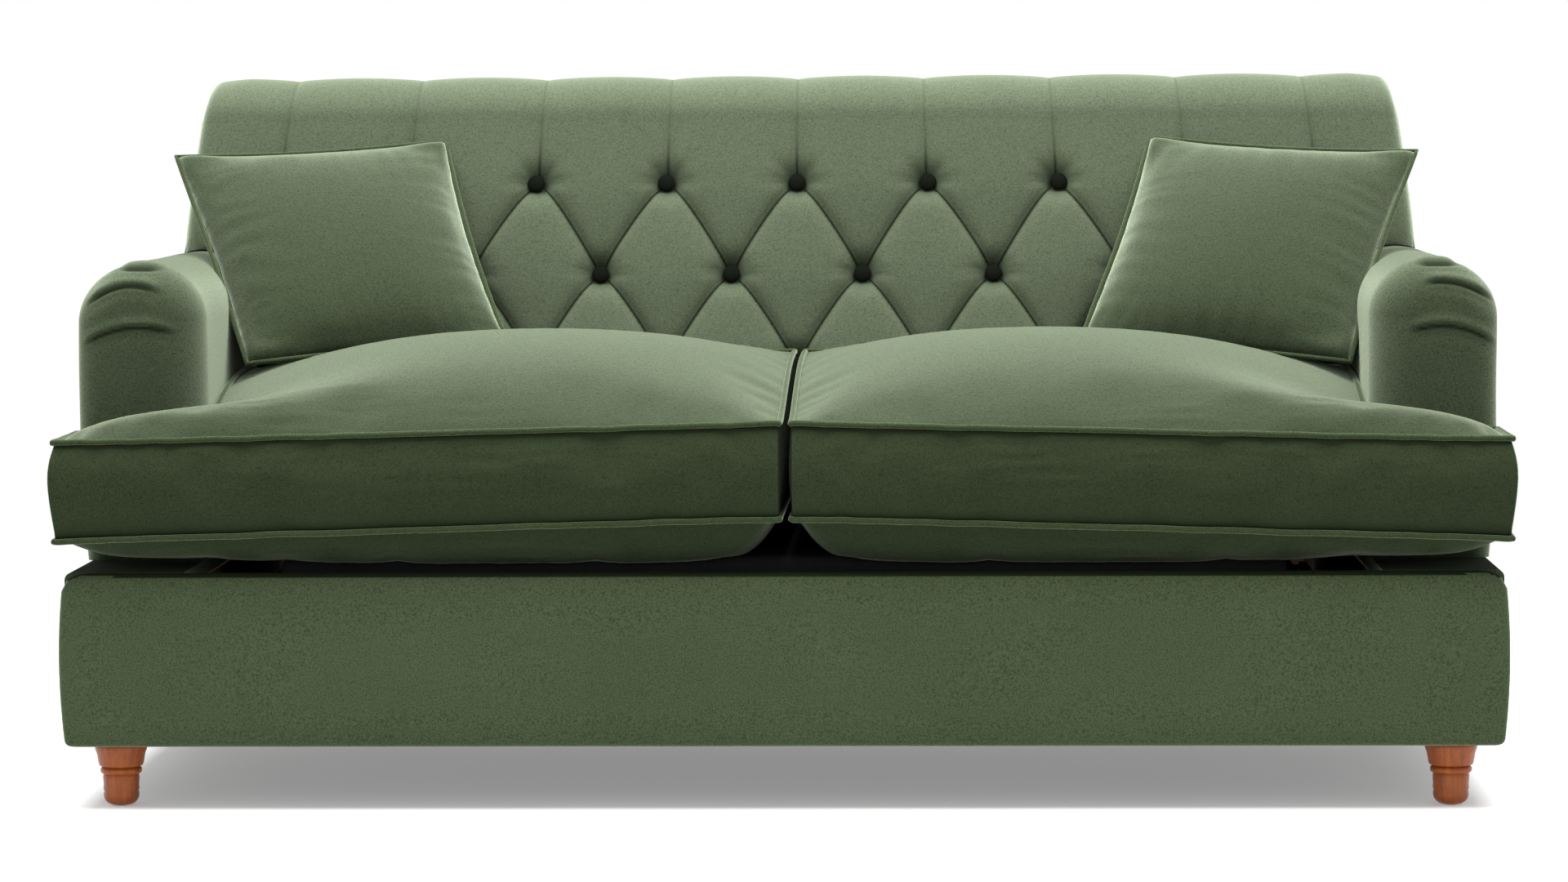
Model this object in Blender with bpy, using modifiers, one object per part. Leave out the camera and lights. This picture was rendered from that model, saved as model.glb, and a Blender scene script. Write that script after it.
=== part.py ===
"""A two-seat sofa bed with English roll arms and a deep-buttoned back.

Metres, +Z up. The front faces -Y, +X is to the right seen from the front, and the origin is on the
floor under the middle. Under the seat cushions lies a three-layer concertina bed: section A hangs on two
pairs of turning links, B folds over it and C, which stays level, lies on top and carries the cushions.
"""

import math

import bmesh
import bpy
from mathutils import Matrix, Vector

for old in list(bpy.data.objects):
    bpy.data.objects.remove(old, do_unlink=True)

# Fits
GAP = 0.0003
PIN_PLAY = 0.0003

# Base box
DEPTH = 1.000
BASE_WIDTH = 1.900
BASE_BOTTOM = 0.085
BASE_TOP = 0.316
BASE_SETBACK = 0.035
COVER = 0.020
COVER_ROUND = 0.008
PANEL_CORNER = 0.015
RAIL = 0.025
RAIL_ROUND = 0.002
BED_RAIL = 0.045

# Feet
FOOT_TOP_RADIUS = 0.035
FOOT_NECK_RADIUS = 0.025
FOOT_BEAD_RADIUS = 0.027
FOOT_TIP_RADIUS = 0.014
FOOT_TOE_RADIUS = 0.016
FOOT_TOE_MIDDLE = 0.010
FOOT_ROUND = 0.006
FOOT_CUP_RADIUS = 0.013
FOOT_CUP_DROP = 0.027
FOOT_CUP_OUT = 0.003
FOOT_BEAD_HEIGHT = 0.044
FOOT_BEAD_ROLL = 0.007
FOOT_BEAD_IN = 0.005
FOOT_COLLAR = 0.009
FOOT_TOE_TOP = 0.024
FOOT_INSET = 0.065
FOOT_STEPS = 16

# Arms
ARM_WIDTH = 0.160
ARM_TOP = 0.720
ARM_FRONT_SETBACK = 0.220
ARM_ROUND = 0.035
ARM_PADDING = 0.025

# Back
BACK_SIDE_SETBACK = 0.050
BACK_TOP = 0.964
BACK_COVER = 0.035
BACK_LEAN = math.radians(12)
PAD_BOTTOM = 0.420
PAD_DEPTH = 0.282
PAD_ROLL = 0.060
PAD_SWELL = 0.030
PAD_FOOT_ROUND = 0.012
PAD_HEEL = 0.015
PAD_HEEL_ROUND = 0.010
POST_WIDTH = 0.050
POST_DEPTH = 0.040
POST_INSET = 0.035
POST_TOP_DROP = 0.047
TOP_RAIL_HEIGHT = 0.060
LOWER_RAIL_HEIGHT = 0.060
OUTER_BACK_CORNER = 0.030
OUTER_BACK_ROUND = 0.010
OUTER_BACK_NOTCH = 0.005

# Buttons of the back
BUTTON_COUNT = 9
BUTTON_MARGIN = 0.136
BUTTON_TOP_DROP = 0.150
BUTTON_LOW_RISE = 0.130
BUTTON_RADIUS = 0.014
BUTTON_CROWN = 0.006
BUTTON_SHANK = 0.010
BUTTON_SHANK_RADIUS = 0.003
BUTTON_RIM = 0.002
BUTTON_STEPS = 8
TUFT_DIP = 0.010

# Seat cushions
SEAT_LOWER_PIPING = 0.391
SEAT_UPPER_PIPING = 0.511
SEAT_CROWN = 0.112
SEAT_BASE_PLAY = 0.003
SEAT_BELLY = 0.030
SEAT_BACK_PLAY = 0.022
SEAT_PARTING = 0.008
SEAT_ARM_PLAY = 0.010
SEAT_EAR_OVERHANG = 0.008
SEAT_BULGE = 0.013
SEAT_NOSE = 0.055
SEAT_DROOP = 0.023

# Scatter cushions
SCATTER_SIZE = 0.390
SCATTER_THICK = 0.140
SCATTER_ARM_SPACE = 0.152
SCATTER_BACK_SPACE = 0.0885
SCATTER_RISE = 0.2066
SCATTER_DRAW = 0.055
SCATTER_TURN = math.radians(18)
SCATTER_LEAN = math.radians(44)
SCATTER_SPIN = math.radians(4)

# Bed sections
TUBE = 0.020
LAYER_PLAY = 0.001
MATTRESS = 0.058
BED_BOTTOM = 0.095
BED_ARM_SPACE = 0.080
BED_LINK_SPACE = 0.035
BED_FRONT_PLAY = 0.0107
BED_REAR_REACH = 0.003
HEAD_REACH = 0.052
HINGE_SETBACK = 0.010
MATTRESS_SETBACK = 0.001
MATTRESS_SIDE_PLAY = 0.0035
MATTRESS_ROUND = 0.010
CROSSBARS = 6
LUG = 0.008
LUG_PLAY = 0.001
LUG_SPACE = 0.0015
LUG_ROOT = 0.002
LUG_TAIL = 0.014
LUG_SINK = 0.008
LUG_RADIUS = 0.009
KNUCKLE_RADIUS = 0.007
HINGE_PIN = 0.005
HINGE_PIN_SMALL = 0.003
PIN_END = 0.001

# Lifting links
LINK_RISE = 0.245
LINK_REACH = 0.100
LINK_THICK = 0.006
LINK_PLAY = 0.008
LINK_SINK = 0.002
LINK_RADIUS = 0.012
LINK_PIN = 0.006
LINK_FRONT_SPACE = 0.159
LINK_REAR_SPACE = 0.049
BRACKET_THICK = 0.010
BRACKET_MARGIN = 0.024

# Bed legs
LEG_THICK = 0.010
LEG_HALF_WIDTH = 0.009
LEG_PIN = 0.005
LEG_INSET = 0.018
LEG_FLOOR_PLAY = 0.001
LEG_SIDE_PLAY = 0.001

# Places worked out from the sizes above
FRONT_Y = -DEPTH / 2
BACK_Y = DEPTH / 2
BASE_FRONT = FRONT_Y + BASE_SETBACK
BASE_HALF = BASE_WIDTH / 2
RAIL_LOW = BASE_BOTTOM
RAIL_HIGH = BASE_TOP - COVER - GAP
FRONT_RAIL_INNER = BASE_FRONT + COVER + GAP + RAIL
BACK_COVER_FRONT = BACK_Y - BACK_COVER
REAR_RAIL_INNER = BACK_COVER_FRONT - GAP - POST_DEPTH
ARM_INNER = BASE_HALF - ARM_WIDTH
ARM_FRONT = FRONT_Y + ARM_FRONT_SETBACK
BACK_HALF = BASE_HALF - BACK_SIDE_SETBACK
BUTTON_PITCH = (BACK_HALF - BUTTON_MARGIN) * 2 / (BUTTON_COUNT - 1)
BUTTON_TOP_ROW = BACK_TOP - BUTTON_TOP_DROP
BUTTON_ROW_DROP = (BUTTON_TOP_ROW - PAD_BOTTOM - BUTTON_LOW_RISE) / 2
PAD_FRONT = BACK_Y - PAD_DEPTH
POST_TOP = BACK_TOP - POST_TOP_DROP
SEAT_REAR = PAD_FRONT - SEAT_BACK_PLAY
POST_FRONT = BACK_COVER_FRONT - GAP - POST_DEPTH
BED_HALF_WIDTH = ARM_INNER - BED_ARM_SPACE
BED_RAIL_INNER = BED_HALF_WIDTH + BED_LINK_SPACE
BED_FRONT_HINGE = FRONT_RAIL_INNER + BED_FRONT_PLAY
SECTION_REAR_HINGE = SEAT_REAR + BED_REAR_REACH
SECTION_A_REAR = SECTION_REAR_HINGE + HEAD_REACH
LAYER = TUBE + MATTRESS
SEAM_AB = BED_BOTTOM + LAYER + LAYER_PLAY / 2
SEAM_BC = BED_BOTTOM + 2 * LAYER + 3 * LAYER_PLAY / 2
C_BOTTOM = SEAM_BC + LAYER_PLAY / 2
SEAT_BOTTOM = C_BOTTOM + LAYER + GAP
LUG_OUTER = BED_HALF_WIDTH - TUBE - LUG_PLAY
LUG_INNER = LUG_OUTER - LUG - LUG_SPACE
MATTRESS_HALF = LUG_INNER - LUG - MATTRESS_SIDE_PLAY
LINK_HEIGHT = BED_BOTTOM + TUBE / 2
LINK_INNER = BED_HALF_WIDTH + LINK_PLAY
LINK_FRONT_PLACE = BED_FRONT_HINGE + LINK_FRONT_SPACE
LINK_REAR_PLACE = SECTION_REAR_HINGE - LINK_REAR_SPACE
QUARTER = math.pi / 2

parts = bpy.data.collections.new("sofa_bed")
cutters = bpy.data.collections.new("sofa_bed_cutters")
for group in (parts, cutters):
    bpy.context.scene.collection.children.link(group)


def finish(name, colour, roughness, metallic=0.0):
    """A plain material in the piece's own colour."""
    material = bpy.data.materials.new(name)
    material.use_nodes = True
    shader = material.node_tree.nodes["Principled BSDF"]
    shader.inputs["Base Color"].default_value = (*colour, 1.0)
    shader.inputs["Roughness"].default_value = roughness
    shader.inputs["Metallic"].default_value = metallic
    return material


VELVET = finish("sage velvet", (0.115, 0.150, 0.075), 0.85)
BUTTON_VELVET = finish("button velvet", (0.070, 0.095, 0.045), 0.85)
FOOT_WOOD = finish("stained beech", (0.250, 0.090, 0.035), 0.35)
TIMBER = finish("frame timber", (0.560, 0.400, 0.240), 0.70)
STEEL = finish("painted steel", (0.080, 0.080, 0.085), 0.40, 0.8)
TICKING = finish("mattress ticking", (0.800, 0.780, 0.720), 0.90)


def arc(centre, radius, first, last, steps):
    """Points on a circle from one angle to another, in degrees."""
    turns = [math.radians(first + (last - first) * i / steps) for i in range(steps + 1)]
    return [(centre[0] + radius * math.cos(t), centre[1] + radius * math.sin(t)) for t in turns]


def rounded_rectangle(low, high, radius, steps=4):
    """A closed outline with four round corners."""
    corners = (
        ((high[0] - radius, high[1] - radius), 0),
        ((low[0] + radius, high[1] - radius), 90),
        ((low[0] + radius, low[1] + radius), 180),
        ((high[0] - radius, low[1] + radius), 270),
    )
    return [point for centre, start in corners for point in arc(centre, radius, start, start + 90, steps)]


def rectangle(low, high):
    return [(low[0], low[1]), (high[0], low[1]), (high[0], high[1]), (low[0], high[1])]


def circle(centre, radius, steps=16):
    return arc(centre, radius, 0, 360 - 360 / steps, steps - 1)


AXES = {
    "X": Matrix(((0, 0, 1), (1, 0, 0), (0, 1, 0))).to_4x4(),
    "Y": Matrix(((1, 0, 0), (0, 0, -1), (0, 1, 0))).to_4x4(),
    "Z": Matrix.Identity(4),
}


def plate(loops, along, low, high):
    """A mesh of a flat outline, with any holes, that runs from low to high along X, Y or Z.

    The outline's two numbers are (y, z) along X, (x, z) along Y and (x, y) along Z.
    """
    curve = bpy.data.curves.new("outline", "CURVE")
    curve.dimensions = "2D"
    curve.fill_mode = "BOTH"
    curve.extrude = abs(high - low) / 2
    for loop in loops:
        spline = curve.splines.new("POLY")
        spline.points.add(len(loop) - 1)
        for point, (u, v) in zip(spline.points, loop):
            point.co = (u, v, 0.0, 1.0)
        spline.use_cyclic_u = True
    holder = bpy.data.objects.new("outline", curve)
    bpy.context.scene.collection.objects.link(holder)
    graph = bpy.context.evaluated_depsgraph_get()
    mesh = bpy.data.meshes.new_from_object(holder.evaluated_get(graph))
    bpy.data.objects.remove(holder, do_unlink=True)
    middle = {"X": Vector((1, 0, 0)), "Y": Vector((0, 1, 0)), "Z": Vector((0, 0, 1))}[along] * (low + high) / 2
    mesh.transform(Matrix.Translation(middle) @ AXES[along])
    shape = bmesh.new()
    shape.from_mesh(mesh)
    bmesh.ops.remove_doubles(shape, verts=shape.verts, dist=0.00001)
    bmesh.ops.recalc_face_normals(shape, faces=shape.faces)
    shape.to_mesh(mesh)
    shape.free()
    return mesh


def box(low, high):
    """A mesh of a plain block between two corners."""
    shape = bmesh.new()
    size = [b - a for a, b in zip(low, high)]
    middle = [(a + b) / 2 for a, b in zip(low, high)]
    bmesh.ops.create_cube(shape, size=1.0, matrix=Matrix.Translation(middle) @ Matrix.Diagonal((*size, 1.0)))
    mesh = bpy.data.meshes.new("block")
    shape.to_mesh(mesh)
    shape.free()
    return mesh


def pin(centre, radius, low, high, steps=16):
    """A mesh of a round pin along X, centred on (y, z)."""
    return plate([circle(centre, radius, steps)], "X", low, high)


def piece(name, mesh, material, origin=(0, 0, 0), group=None):
    """A named object whose mesh is given in world places, with its origin where it turns."""
    mesh.transform(Matrix.Translation(-Vector(origin)))
    mesh.name = name
    mesh.materials.clear()
    mesh.materials.append(material)
    made = bpy.data.objects.new(name, mesh)
    made.location = origin
    (group or parts).objects.link(made)
    return made


def boolean(target, mesh, operation, solver="EXACT"):
    """Joins a mesh to a piece, or cuts it away, with a hidden helper."""
    helper = piece(target.name + "_helper", mesh, STEEL, group=cutters)
    helper.hide_render = True
    helper.display_type = "WIRE"
    step = target.modifiers.new(operation.title(), "BOOLEAN")
    step.operation = operation
    step.solver = solver
    step.object = helper
    return target


def rounded(target, width, segments=2, angle=30):
    """Rounds the sharp edges of a piece."""
    step = target.modifiers.new("Round", "BEVEL")
    step.width = width
    step.segments = segments
    step.limit_method = "ANGLE"
    step.angle_limit = math.radians(angle)
    step.harden_normals = False
    return target


def subdivided(target, levels):
    step = target.modifiers.new("Soften", "SUBSURF")
    step.levels = levels
    step.render_levels = levels
    return target


def sides():
    return (("left", -1), ("right", 1))


def span(side, inner, outer):
    """The low and high X of something between two distances from the middle."""
    return (inner, outer) if side > 0 else (-outer, -inner)


# Timber base: front, rear and side rails, and the inner rails that carry the bed
def base_frame():
    half = BASE_HALF - COVER - GAP
    front = (BASE_FRONT + COVER + GAP, FRONT_RAIL_INNER)
    rear = (REAR_RAIL_INNER, BACK_COVER_FRONT - GAP)
    for name, (near, far) in (("front_rail", front), ("rear_rail", rear)):
        rail = box((-half, near, RAIL_LOW), (half, far, RAIL_HIGH))
        rounded(piece(name, rail, TIMBER), RAIL_ROUND, 1)
    for word, side in sides():
        outer = span(side, half - RAIL, half)
        inner = span(side, BED_RAIL_INNER, BED_RAIL_INNER + BED_RAIL)
        for name, across in (("side_rail_", outer), ("bed_rail_", inner)):
            low_corner = (across[0], FRONT_RAIL_INNER + GAP, RAIL_LOW)
            high_corner = (across[1], REAR_RAIL_INNER - GAP, RAIL_HIGH)
            rounded(piece(name + word, box(low_corner, high_corner), TIMBER), RAIL_ROUND, 1)


# Padded covers of the base: a plain front, and sides that turn in over the top
def base_covers():
    outline = rounded_rectangle((-BASE_HALF, BASE_BOTTOM), (BASE_HALF, BASE_TOP), PANEL_CORNER)
    front = piece("base_front_panel", plate([outline], "Y", BASE_FRONT, BASE_FRONT + COVER), VELVET)
    rounded(front, COVER_ROUND, 3, 60)
    for word, side in sides():
        section = [
            *arc((BASE_HALF - COVER_ROUND, BASE_BOTTOM + COVER_ROUND), COVER_ROUND, -90, 0, 3),
            *arc((BASE_HALF - COVER_ROUND, BASE_TOP - COVER_ROUND), COVER_ROUND, 0, 90, 3),
            (ARM_INNER + GAP, BASE_TOP),
            (ARM_INNER + GAP, BASE_TOP - COVER),
            (BASE_HALF - COVER, BASE_TOP - COVER),
            (BASE_HALF - COVER, BASE_BOTTOM),
        ]
        section = [(side * x, z) for x, z in section]
        cover = plate([section], "Y", BASE_FRONT + COVER + GAP, BACK_COVER_FRONT - GAP)
        piece("base_side_panel_" + word, cover, VELVET)


# Turned feet: a cup under the base, a bead and a rounded toe
def foot_profile():
    cup_middle = (FOOT_TOP_RADIUS + FOOT_CUP_OUT, BASE_BOTTOM - FOOT_CUP_DROP)
    cup = arc(cup_middle, FOOT_CUP_RADIUS, 155, 200, 2)
    bead = arc((FOOT_BEAD_RADIUS - FOOT_BEAD_IN, FOOT_BEAD_HEIGHT), FOOT_BEAD_ROLL, 80, -80, 5)
    toe = arc((FOOT_TOE_MIDDLE, FOOT_TOE_RADIUS), FOOT_TOE_RADIUS, 0, -90, 5)
    top = BASE_BOTTOM - GAP
    return [
        (0.0, top),
        (FOOT_TOP_RADIUS - FOOT_ROUND / 3, top),
        (FOOT_TOP_RADIUS, top - FOOT_ROUND),
        *cup,
        (FOOT_NECK_RADIUS, FOOT_BEAD_HEIGHT + FOOT_COLLAR),
        *bead,
        (FOOT_NECK_RADIUS, FOOT_BEAD_HEIGHT - FOOT_COLLAR),
        (FOOT_NECK_RADIUS, FOOT_TOE_TOP),
        *toe,
        (0.0, 0.0),
    ]


def feet():
    mesh = bpy.data.meshes.new("foot profile")
    shape = bmesh.new()
    points = [shape.verts.new((x, 0.0, z)) for x, z in foot_profile()]
    for upper, lower in zip(points, points[1:]):
        shape.edges.new((upper, lower))
    shape.to_mesh(mesh)
    shape.free()
    places = {"front": BASE_FRONT + FOOT_INSET, "rear": BACK_Y - FOOT_INSET}
    for end, y in places.items():
        for word, side in sides():
            foot = piece(f"foot_{end}_{word}", mesh.copy(), FOOT_WOOD)
            foot.location = (side * (BASE_HALF - FOOT_INSET), y, 0.0)
            turn = foot.modifiers.new("Turn", "SCREW")
            turn.steps = FOOT_STEPS
            turn.render_steps = FOOT_STEPS
            turn.use_merge_vertices = True
            turn.merge_threshold = 0.00005


# Roll arms: an arched timber frame inside a padded cover that is open below
def arm_outline(inset):
    inner = ARM_INNER + inset
    outer = BASE_HALF - inset
    radius = (outer - inner) / 2
    middle = (inner + outer) / 2
    spring = ARM_TOP - ARM_WIDTH / 2
    return [(outer, BASE_TOP + GAP), *arc((middle, spring), radius, 0, 180, 10), (inner, BASE_TOP + GAP)]


def soften_front(mesh, front, width):
    """Rounds the edges round the front end of a mesh that runs along Y."""
    shape = bmesh.new()
    shape.from_mesh(mesh)
    low = min(v.co.z for v in shape.verts)
    bmesh.ops.dissolve_limit(shape, angle_limit=0.001, verts=shape.verts, edges=shape.edges)
    rim = [
        e
        for e in shape.edges
        if all(abs(v.co.y - front) < 0.0005 for v in e.verts) and any(v.co.z > low + 0.0005 for v in e.verts)
    ]
    bmesh.ops.bevel(shape, geom=rim, offset=width, segments=3, profile=0.5, affect="EDGES", material=-1)
    shape.to_mesh(mesh)
    shape.free()


def arms():
    rear = BACK_COVER_FRONT - GAP
    for word, side in sides():
        outer = [(side * x, z) for x, z in arm_outline(0.0)]
        hollow = [(side * x, z - 2 * GAP if z < ARM_TOP / 2 else z) for x, z in arm_outline(ARM_PADDING - GAP)]
        inner = [(side * x, z) for x, z in arm_outline(ARM_PADDING)]
        frame_front = ARM_FRONT + ARM_PADDING
        frame_rear = POST_FRONT - GAP
        piece("arm_frame_" + word, plate([inner], "Y", frame_front, frame_rear), TIMBER)
        pad = plate([outer], "Y", ARM_FRONT, rear)
        soften_front(pad, ARM_FRONT, ARM_ROUND)
        pad = piece("arm_pad_" + word, pad, VELVET)
        boolean(pad, plate([hollow], "Y", frame_front - GAP, rear + RAIL), "DIFFERENCE")


# Back frame: two posts on the rear rail, with a top and a lower rail between them
def back_frame():
    rear = BACK_COVER_FRONT - GAP
    outer = ARM_INNER + ARM_PADDING - POST_INSET
    inner = outer - POST_WIDTH
    for word, side in sides():
        across = span(side, inner, outer)
        post = box((across[0], POST_FRONT, RAIL_HIGH + GAP), (across[1], rear, POST_TOP))
        rounded(piece("back_post_" + word, post, TIMBER), RAIL_ROUND, 1)
    reach = inner - GAP
    for name, low, high in (
        ("back_top_rail", POST_TOP - TOP_RAIL_HEIGHT, POST_TOP),
        ("back_lower_rail", PAD_BOTTOM, PAD_BOTTOM + LOWER_RAIL_HEIGHT),
    ):
        rail = box((-reach, POST_FRONT, low), (reach, rear, high))
        rounded(piece(name, rail, TIMBER), RAIL_ROUND, 1)


# Outside back: one flat padded cover from the base to just under the roll of the back
def outside_back():
    half = BACK_HALF
    top = POST_TOP
    corner = OUTER_BACK_CORNER
    outline = [
        (BASE_HALF, BASE_BOTTOM),
        (BASE_HALF, ARM_TOP - ARM_WIDTH / 2),
        *arc((BASE_HALF - ARM_WIDTH / 2, ARM_TOP - ARM_WIDTH / 2), ARM_WIDTH / 2, 0, 60, 5)[1:],
        (half, ARM_TOP - OUTER_BACK_NOTCH),
        *arc((half - corner, top - corner), corner, 0, 90, 4),
    ]
    outline = outline + [(-x, z) for x, z in reversed(outline)]
    cover = piece("outer_back", plate([outline], "Y", BACK_COVER_FRONT, BACK_Y), VELVET)
    rounded(cover, OUTER_BACK_ROUND, 2, 60)


# Deep-buttoned back pad. Its front is a row of swelling diamonds between sewn-down buttons
def pad_line(z):
    """The y of the pad's plain front at a height, leaning back from its foot."""
    return PAD_FRONT + PAD_SWELL + (z - PAD_BOTTOM) * math.tan(BACK_LEAN)


def pad_swell(x, z):
    """How far the filling stands out of the pleats at a place on the front."""
    drop = min(max((BUTTON_TOP_ROW - z) / BUTTON_ROW_DROP, 0.0), 2.0) / 2
    across = x / BUTTON_PITCH
    diamond = abs(math.sin(math.pi * (across + drop)) * math.sin(math.pi * (across - drop)))
    edge = min(1.0, (BACK_HALF - abs(x)) / (BUTTON_PITCH / 3))
    stand = math.sqrt(diamond)
    return (PAD_SWELL * stand - TUFT_DIP * (1 - stand) ** 4) * math.sqrt(max(edge, 0.0))


def pad_section():
    """Points round the pad's side view, with the height that each takes its swelling from."""
    rows = []
    stops = [PAD_BOTTOM + PAD_FOOT_ROUND]
    stops += [BUTTON_TOP_ROW - BUTTON_ROW_DROP * k for k in (2, 1, 0)]
    stops.append(BACK_TOP - PAD_ROLL)
    cells = (2, 4, 4, 3)
    for low, high, count in zip(stops, stops[1:], cells):
        rows += [low + (high - low) * i / count for i in range(count)]
    front = [(pad_line(PAD_BOTTOM) + PAD_FOOT_ROUND, PAD_BOTTOM, None)]
    front += [(pad_line(z), z, z) for z in rows]
    roll_low = stops[-1]
    start = pad_line(roll_low)
    rear = BACK_Y
    middle = start + (rear - start) / 2
    for k in range(6):
        turn = math.pi * (1 - k / 5)
        y = middle + (rear - start) / 2 * math.cos(turn)
        front.append((y, roll_low + PAD_ROLL * math.sin(turn), roll_low if k < 3 else None))
    rest = POST_TOP + GAP
    cover = BACK_COVER_FRONT - GAP
    under = [(rear, rest + PAD_HEEL), (rear - PAD_HEEL_ROUND, rest), (cover, rest), (cover, PAD_BOTTOM)]
    return front[:-1] + [(y, z, None) for y, z in under]


def pad_columns():
    outermost = BACK_HALF - BUTTON_MARGIN
    cells = 6
    step = BUTTON_PITCH / cells
    inner = [i * step - outermost for i in range((BUTTON_COUNT - 1) * cells + 1)]
    side = BACK_HALF - BUTTON_MARGIN * 0.4
    return [-BACK_HALF, -side] + inner + [side, BACK_HALF]


def back_pad():
    section = pad_section()
    columns = pad_columns()
    lean_out = Vector((0.0, -math.cos(BACK_LEAN), math.sin(BACK_LEAN)))
    shape = bmesh.new()
    row = shape.verts.layers.int.new("row")
    ring = [shape.verts.new((columns[0], y, z)) for y, z, _ in section]
    for index, vert in enumerate(ring):
        vert[row] = index
    edges = [shape.edges.new((a, b)) for a, b in zip(ring, ring[1:] + ring[:1])]
    first = list(edges)
    for x in columns[1:]:
        grown = bmesh.ops.extrude_edge_only(shape, edges=edges)["geom"]
        edges = [g for g in grown if isinstance(g, bmesh.types.BMEdge)]
        for vert in (g for g in grown if isinstance(g, bmesh.types.BMVert)):
            vert.co.x = x
    ends = [bmesh.ops.contextual_create(shape, geom=loop)["faces"][0] for loop in (first, edges)]
    bmesh.ops.triangulate(shape, faces=ends)
    for vert in shape.verts:
        height = section[vert[row]][2]
        if height is not None:
            vert.co += lean_out * pad_swell(vert.co.x, height)
    bmesh.ops.recalc_face_normals(shape, faces=shape.faces)
    mesh = bpy.data.meshes.new("back_pad")
    shape.to_mesh(mesh)
    shape.free()
    pad = piece("back_pad", mesh, VELVET)
    pad.data.shade_smooth()
    # It fits round the posts and rails, and goes down between the arms and over the top of them.
    wide = ARM_INNER - GAP
    room = box((-wide, POST_FRONT - GAP, PAD_BOTTOM - RAIL), (wide, BACK_Y, POST_TOP + GAP))
    boolean(pad, room, "DIFFERENCE", "MANIFOLD")
    for _, side in sides():
        arm = [(side * x, z) for x, z in arm_outline(-2 * GAP)]
        boolean(pad, plate([arm], "Y", ARM_FRONT, BACK_Y + RAIL), "DIFFERENCE", "MANIFOLD")


# Covered buttons: a domed cap with a short shank that goes into the pad
def button_profile():
    dome = arc((0.0, 0.0), 1.0, 80, 0, 3)
    rim = BUTTON_SHANK + BUTTON_RIM
    cap = [(BUTTON_RADIUS * x, rim + BUTTON_CROWN * z) for x, z in dome]
    return [
        (0.0, rim + BUTTON_CROWN),
        *cap,
        (BUTTON_RADIUS - BUTTON_RIM, BUTTON_SHANK),
        (BUTTON_SHANK_RADIUS, BUTTON_SHANK - BUTTON_RIM / 2),
        (BUTTON_SHANK_RADIUS, 0.0),
        (0.0, 0.0),
    ]


def buttons():
    profile = bmesh.new()
    points = [profile.verts.new((x, 0.0, z)) for x, z in button_profile()]
    for upper, lower in zip(points, points[1:]):
        profile.edges.new((upper, lower))
    mesh = bpy.data.meshes.new("button profile")
    profile.to_mesh(mesh)
    profile.free()
    lean_out = Vector((0.0, -math.cos(BACK_LEAN), math.sin(BACK_LEAN)))
    # The shank's rim meets the sides of the dimple this far out of its deepest point.
    across = BUTTON_PITCH / 6
    down = BUTTON_ROW_DROP / 4
    steep_across = (pad_swell(across, BUTTON_TOP_ROW) + TUFT_DIP) / across
    steep_down = (pad_swell(0.0, BUTTON_TOP_ROW - down) + TUFT_DIP) / down
    seat = math.hypot(steep_across, steep_down) * BUTTON_SHANK_RADIUS + GAP
    for row, count in ((1, BUTTON_COUNT), (2, BUTTON_COUNT - 1)):
        z = BUTTON_TOP_ROW - BUTTON_ROW_DROP * (row - 1)
        for k in range(count):
            x = (k - (count - 1) / 2) * BUTTON_PITCH
            button = piece(f"button_row{row}_{k + 1}", mesh.copy(), BUTTON_VELVET)
            button.location = Vector((x, pad_line(z), z)) + lean_out * (seat - TUFT_DIP)
            button.rotation_euler = (QUARTER - BACK_LEAN, 0.0, 0.0)
            turn = button.modifiers.new("Turn", "SCREW")
            turn.steps = BUTTON_STEPS
            turn.render_steps = BUTTON_STEPS
            turn.use_merge_vertices = True
            turn.merge_threshold = 0.00005


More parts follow.
